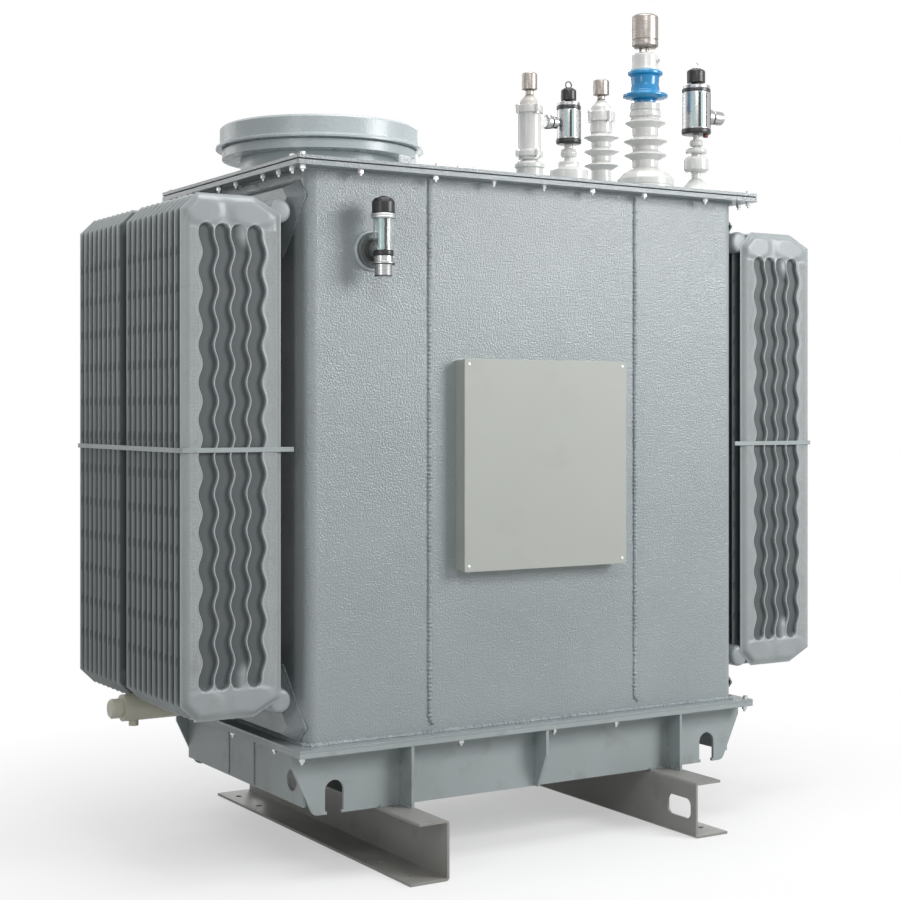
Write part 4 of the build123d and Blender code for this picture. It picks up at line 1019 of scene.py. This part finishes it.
parts = []
rng = np.random.default_rng(7)
for sign in (-1, 1):
    for x in BOLT_X:
        parts += hanging_nut(x, sign * (COVER_Y - COVER_INSET), TANK_TOP, rng.uniform(0, 60))
        parts.append(washer(8, 2, at(x, sign * (COVER_Y - PLUG_INSET), COVER_TOP)))
    for y in BOLT_Y:
        parts += hanging_nut(sign * (COVER_X - COVER_INSET), y, TANK_TOP, rng.uniform(0, 60))
        parts.append(washer(8, 2, at(sign * (COVER_X - PLUG_INSET), y, COVER_TOP)))
    for x in (BOLT_X[0], BOLT_X[-1]):
        parts += standing_bolt(x, sign * (COVER_Y - COVER_INSET), COVER_TOP, rng.uniform(0, 60))
    end_x, end_y = sign * (COVER_X - COVER_INSET), sign * BOLT_Y[-1]
    parts += standing_bolt(end_x, end_y, COVER_TOP, rng.uniform(0, 60))
    for x in HATCH_BOLT_X:
        parts += standing_bolt(x, sign * (COVER_Y - HATCH_BOLT_INSET), COVER_TOP, rng.uniform(0, 60))
piece("cover_bolts", *joined(parts), ZINC, "terminal_steel")

parts = []
for sign in (-1, 1):
    for x in DECK_BOLT_X:
        parts += hanging_nut(x, sign * (DECK_Y - DECK_INSET), DECK_FOOT, rng.uniform(0, 60))
    for y in DECK_BOLT_Y:
        parts += hanging_nut(sign * (DECK_X - DECK_INSET), y, DECK_FOOT, rng.uniform(0, 60))
    corner_x, corner_y = sign * (DECK_X - DECK_INSET), -sign * (DECK_Y - DECK_INSET)
    parts += standing_bolt(corner_x, corner_y, TANK_FOOT, rng.uniform(0, 60))
piece("deck_bolts", *joined(parts), ZINC, "terminal_steel")

parts = []
for sign in (-1, 1):
    for level in (CABINET_FOOT + SCREW_INSET, CABINET_TOP - SCREW_INSET):
        x = CABINET_X + sign * (CABINET_HALF - SCREW_INSET)
        screw = [(5.5, 0), (5.5, 0.9, 0.5), (3, 1.9, 1), (0, 2)]
        parts.append(lathe(screw, 20, at(x, -TANK_Y - CABINET_DEPTH, level, (90, "X"))))
piece("cabinet_screws", *joined(parts), ZINC, "terminal_steel")


# Weld seams
SEAM_X, SEAM_FOOT = (-397.0, 391.0), 418.0
CORNER_CUT, RIB_SEAM, RIB_REACH, END_SEAM_Y, END_SEAM_FOOT = 9.0, 6.0, 500.0, 95.0, 210.0


parts = []
for seed, x in enumerate(SEAM_X):
    for sign in (-1, 1):
        wall = sign * TANK_Y
        path = [
            (x, wall, TANK_TOP), (x, wall, SEAM_FOOT + 18.0),
            (x + 6.0, wall, SEAM_FOOT + 6.0), (x + 16.0, wall, SEAM_FOOT),
        ]
        parts.append(bead(path, 14.0, seed + sign + 5, 6.5))
# Seams in the paler weld paint: a painted highlight.
piece("wall_seams", *joined(parts), WELD_GLINT_PAINT, "tank_paint")

parts = []
seed = 40
edge_x, edge_y = TANK_X - CORNER_CUT, TANK_Y - CORNER_CUT
ring = [
    (-edge_x, -TANK_Y), (edge_x, -TANK_Y), (TANK_X, -edge_y), (TANK_X, edge_y), (edge_x, TANK_Y),
    (-edge_x, TANK_Y), (-TANK_X, edge_y), (-TANK_X, -edge_y), (-edge_x, -TANK_Y),
]
for level, width in ((TANK_FOOT + 2.0, 14.0), (TANK_TOP - 2.0, 8.0)):
    seed += 1
    parts.append(bead([(x, y, level) for x, y in ring], width, seed, 7.0))
for rib_x in RIB_X:
    for side in (-1, 1):
        for offset in (-RIB_SEAM, RIB_SEAM):
            seed += 1
            x, face = rib_x + offset, side * BEAM_FACE
            parts.append(bead([(x, face, SKID_TOP + 2.0), (x, face, BEAM_TOP)], 7.0, seed))
            if rib_x in (RIB_X[0], RIB_X[-1]):
                parts.append(bead([(x, face, SKID_TOP), (x, side * RIB_REACH, SKID_TOP)], 7.0, seed + 7))
for side in (-1, 1):
    for skid in (-1, 1):
        seed += 1
        for y in (side * BEAM_FACE, side * BEAM_INSIDE):
            path = [(skid * SKID_INNER, y, SKID_TOP), (skid * SKID_OUTER, y, SKID_TOP)]
            parts.append(bead(path, 8.0, seed))
    for y in (-END_SEAM_Y, END_SEAM_Y):
        seed += 1
        parts.append(bead([(side * TANK_X, y, END_SEAM_FOOT), (side * TANK_X, y, BEAM_TOP)], 7.0, seed))
    for tip, near, far in DUCTS:
        seed += 1
        near_half, far_half = duct_outline(tip, near, far)
        corners = [
            (-DUCT_HALF, tip), (-near_half, near), (near_half, near), (DUCT_HALF, tip),
            (far_half, far), (-far_half, far), (-DUCT_HALF, tip),
        ]
        parts.append(bead([(side * (TANK_X + 1.0), y, z) for y, z in corners], 6.0, seed, 4.0))
# Welds in the paler weld paint: a painted highlight.
piece("frame_welds", *joined(parts), WELD_GLINT_PAINT, "tank_paint")


# Camera, light and floor
camera_data = bpy.data.cameras.new("camera")
camera_data.lens = 67.67
camera_data.sensor_width = 36.0
camera_data.shift_y = -0.0433
camera = bpy.data.objects.new("camera", camera_data)
camera.location = (-3.0416, -4.9047, 1.373)
camera.rotation_euler = (math.radians(90.0), 0.0, math.radians(-31.45))
bpy.context.collection.objects.link(camera)
bpy.context.scene.camera = camera


def softbox(name, place, target, size, power):
    """A soft square of light that faces a target."""
    data = bpy.data.lights.new(name, "AREA")
    data.shape = "RECTANGLE"
    data.size, data.size_y = size
    data.energy = power
    made = bpy.data.objects.new(name, data)
    made.location = place
    made.rotation_mode = "QUATERNION"
    made.rotation_quaternion = (Vector(target) - Vector(place)).to_track_quat("-Z", "Y")
    bpy.context.collection.objects.link(made)


softbox("key_right", (3.2, -4.4, 3.2), (0.0, -0.4, 1.8), size=(2.3, 2.3), power=200.0)
softbox("front_top", (-1.6, -4.4, 4.3), (-0.3, -0.4, 2.2), size=(1.6, 1.2), power=38.0)
softbox("side_left", (-3.1, -1.9, 2.0), (-1.0, -0.5, 1.5), size=(0.5, 1.8), power=14.0)
softbox("top", (0.0, -0.8, 5.6), (0.0, 0.0, 0.0), size=(3.2, 2.4), power=125.0)
softbox("back_right", (3.4, 5.2, 3.2), (0.0, 0.0, 1.2), size=(3.0, 3.0), power=150.0)
softbox("back_left", (-3.4, 5.2, 3.2), (0.0, 0.0, 1.2), size=(3.0, 3.0), power=45.0)


def backdrop_rays(tree):
    """One for the rays that see the backdrop: straight, mirrored or through glass."""
    paths = node(tree, "ShaderNodeLightPath")
    seen = paths.outputs["Is Camera Ray"]
    for name in ("Is Glossy Ray", "Is Transmission Ray"):
        either = node(tree, "ShaderNodeMath", operation="MAXIMUM")
        link(seen, either, 0)
        link(paths.outputs[name], either, 1)
        seen = either.outputs[0]
    return seen


world = bpy.data.worlds.new("studio")
bpy.context.scene.world = world
world.use_nodes = True
tree = world.node_tree
tree.nodes.clear()
WHITE = (1.0, 1.0, 1.0, 1.0)
dim = node(tree, "ShaderNodeBackground", Color=WHITE, Strength=0.17)
bright = node(tree, "ShaderNodeBackground", Color=WHITE, Strength=1.0)
both = node(tree, "ShaderNodeMixShader")
output = node(tree, "ShaderNodeOutputWorld")
link(backdrop_rays(tree), both, 0)
link(dim.outputs[0], both, 1)
link(bright.outputs[0], both, 2)
link(both.outputs[0], output, 0)


def studio_floor():
    """Pale floor that takes the shadow near the object and fades into the white backdrop."""
    material = bpy.data.materials.new("studio_floor")
    material.use_nodes = True
    tree = material.node_tree
    base = tree.nodes["Principled BSDF"]
    base.inputs["Roughness"].default_value = 0.9
    base.inputs["Specular IOR Level"].default_value = 0.1
    speckle = ramp(tree, noise(tree, 6.0, 3.0), 0.3, 0.7, 0.0, 1.0)
    backdrop = backdrop_rays(tree)
    pale = mixed(tree, speckle, (0.92, 0.92, 0.92), (0.94, 0.94, 0.94))
    link(mixed(tree, backdrop, (0.56, 0.56, 0.56), pale), base, "Base Color")
    place = node(tree, "ShaderNodeTexCoord")
    length = node(tree, "ShaderNodeVectorMath", operation="LENGTH")
    link(place.outputs["Object"], length, 0)
    far = ramp(tree, length.outputs["Value"], 0.7, 2.3, 0.45, 1.0)
    seen = node(tree, "ShaderNodeMath", operation="MULTIPLY")
    link(far, seen, 0)
    link(backdrop, seen, 1)
    glow = node(tree, "ShaderNodeEmission", Strength=1.0)
    both = node(tree, "ShaderNodeMixShader")
    link(seen.outputs[0], both, 0)
    link(base.outputs[0], both, 1)
    link(glow.outputs[0], both, 2)
    tree.links.new(both.outputs[0], tree.nodes["Material Output"].inputs["Surface"])
    data = bpy.data.meshes.new("studio_floor")
    count, radius = 48, 14.0
    angles = [2 * math.pi * k / count for k in range(count)]
    ring = [(radius * math.cos(angle), radius * math.sin(angle), 0.0) for angle in angles]
    data.from_pydata(ring, [], [tuple(range(count))])
    data.materials.append(material)
    floor = bpy.data.objects.new("studio_floor", data)
    bpy.context.collection.objects.link(floor)


studio_floor()
bpy.context.scene.view_settings.view_transform = "Standard"
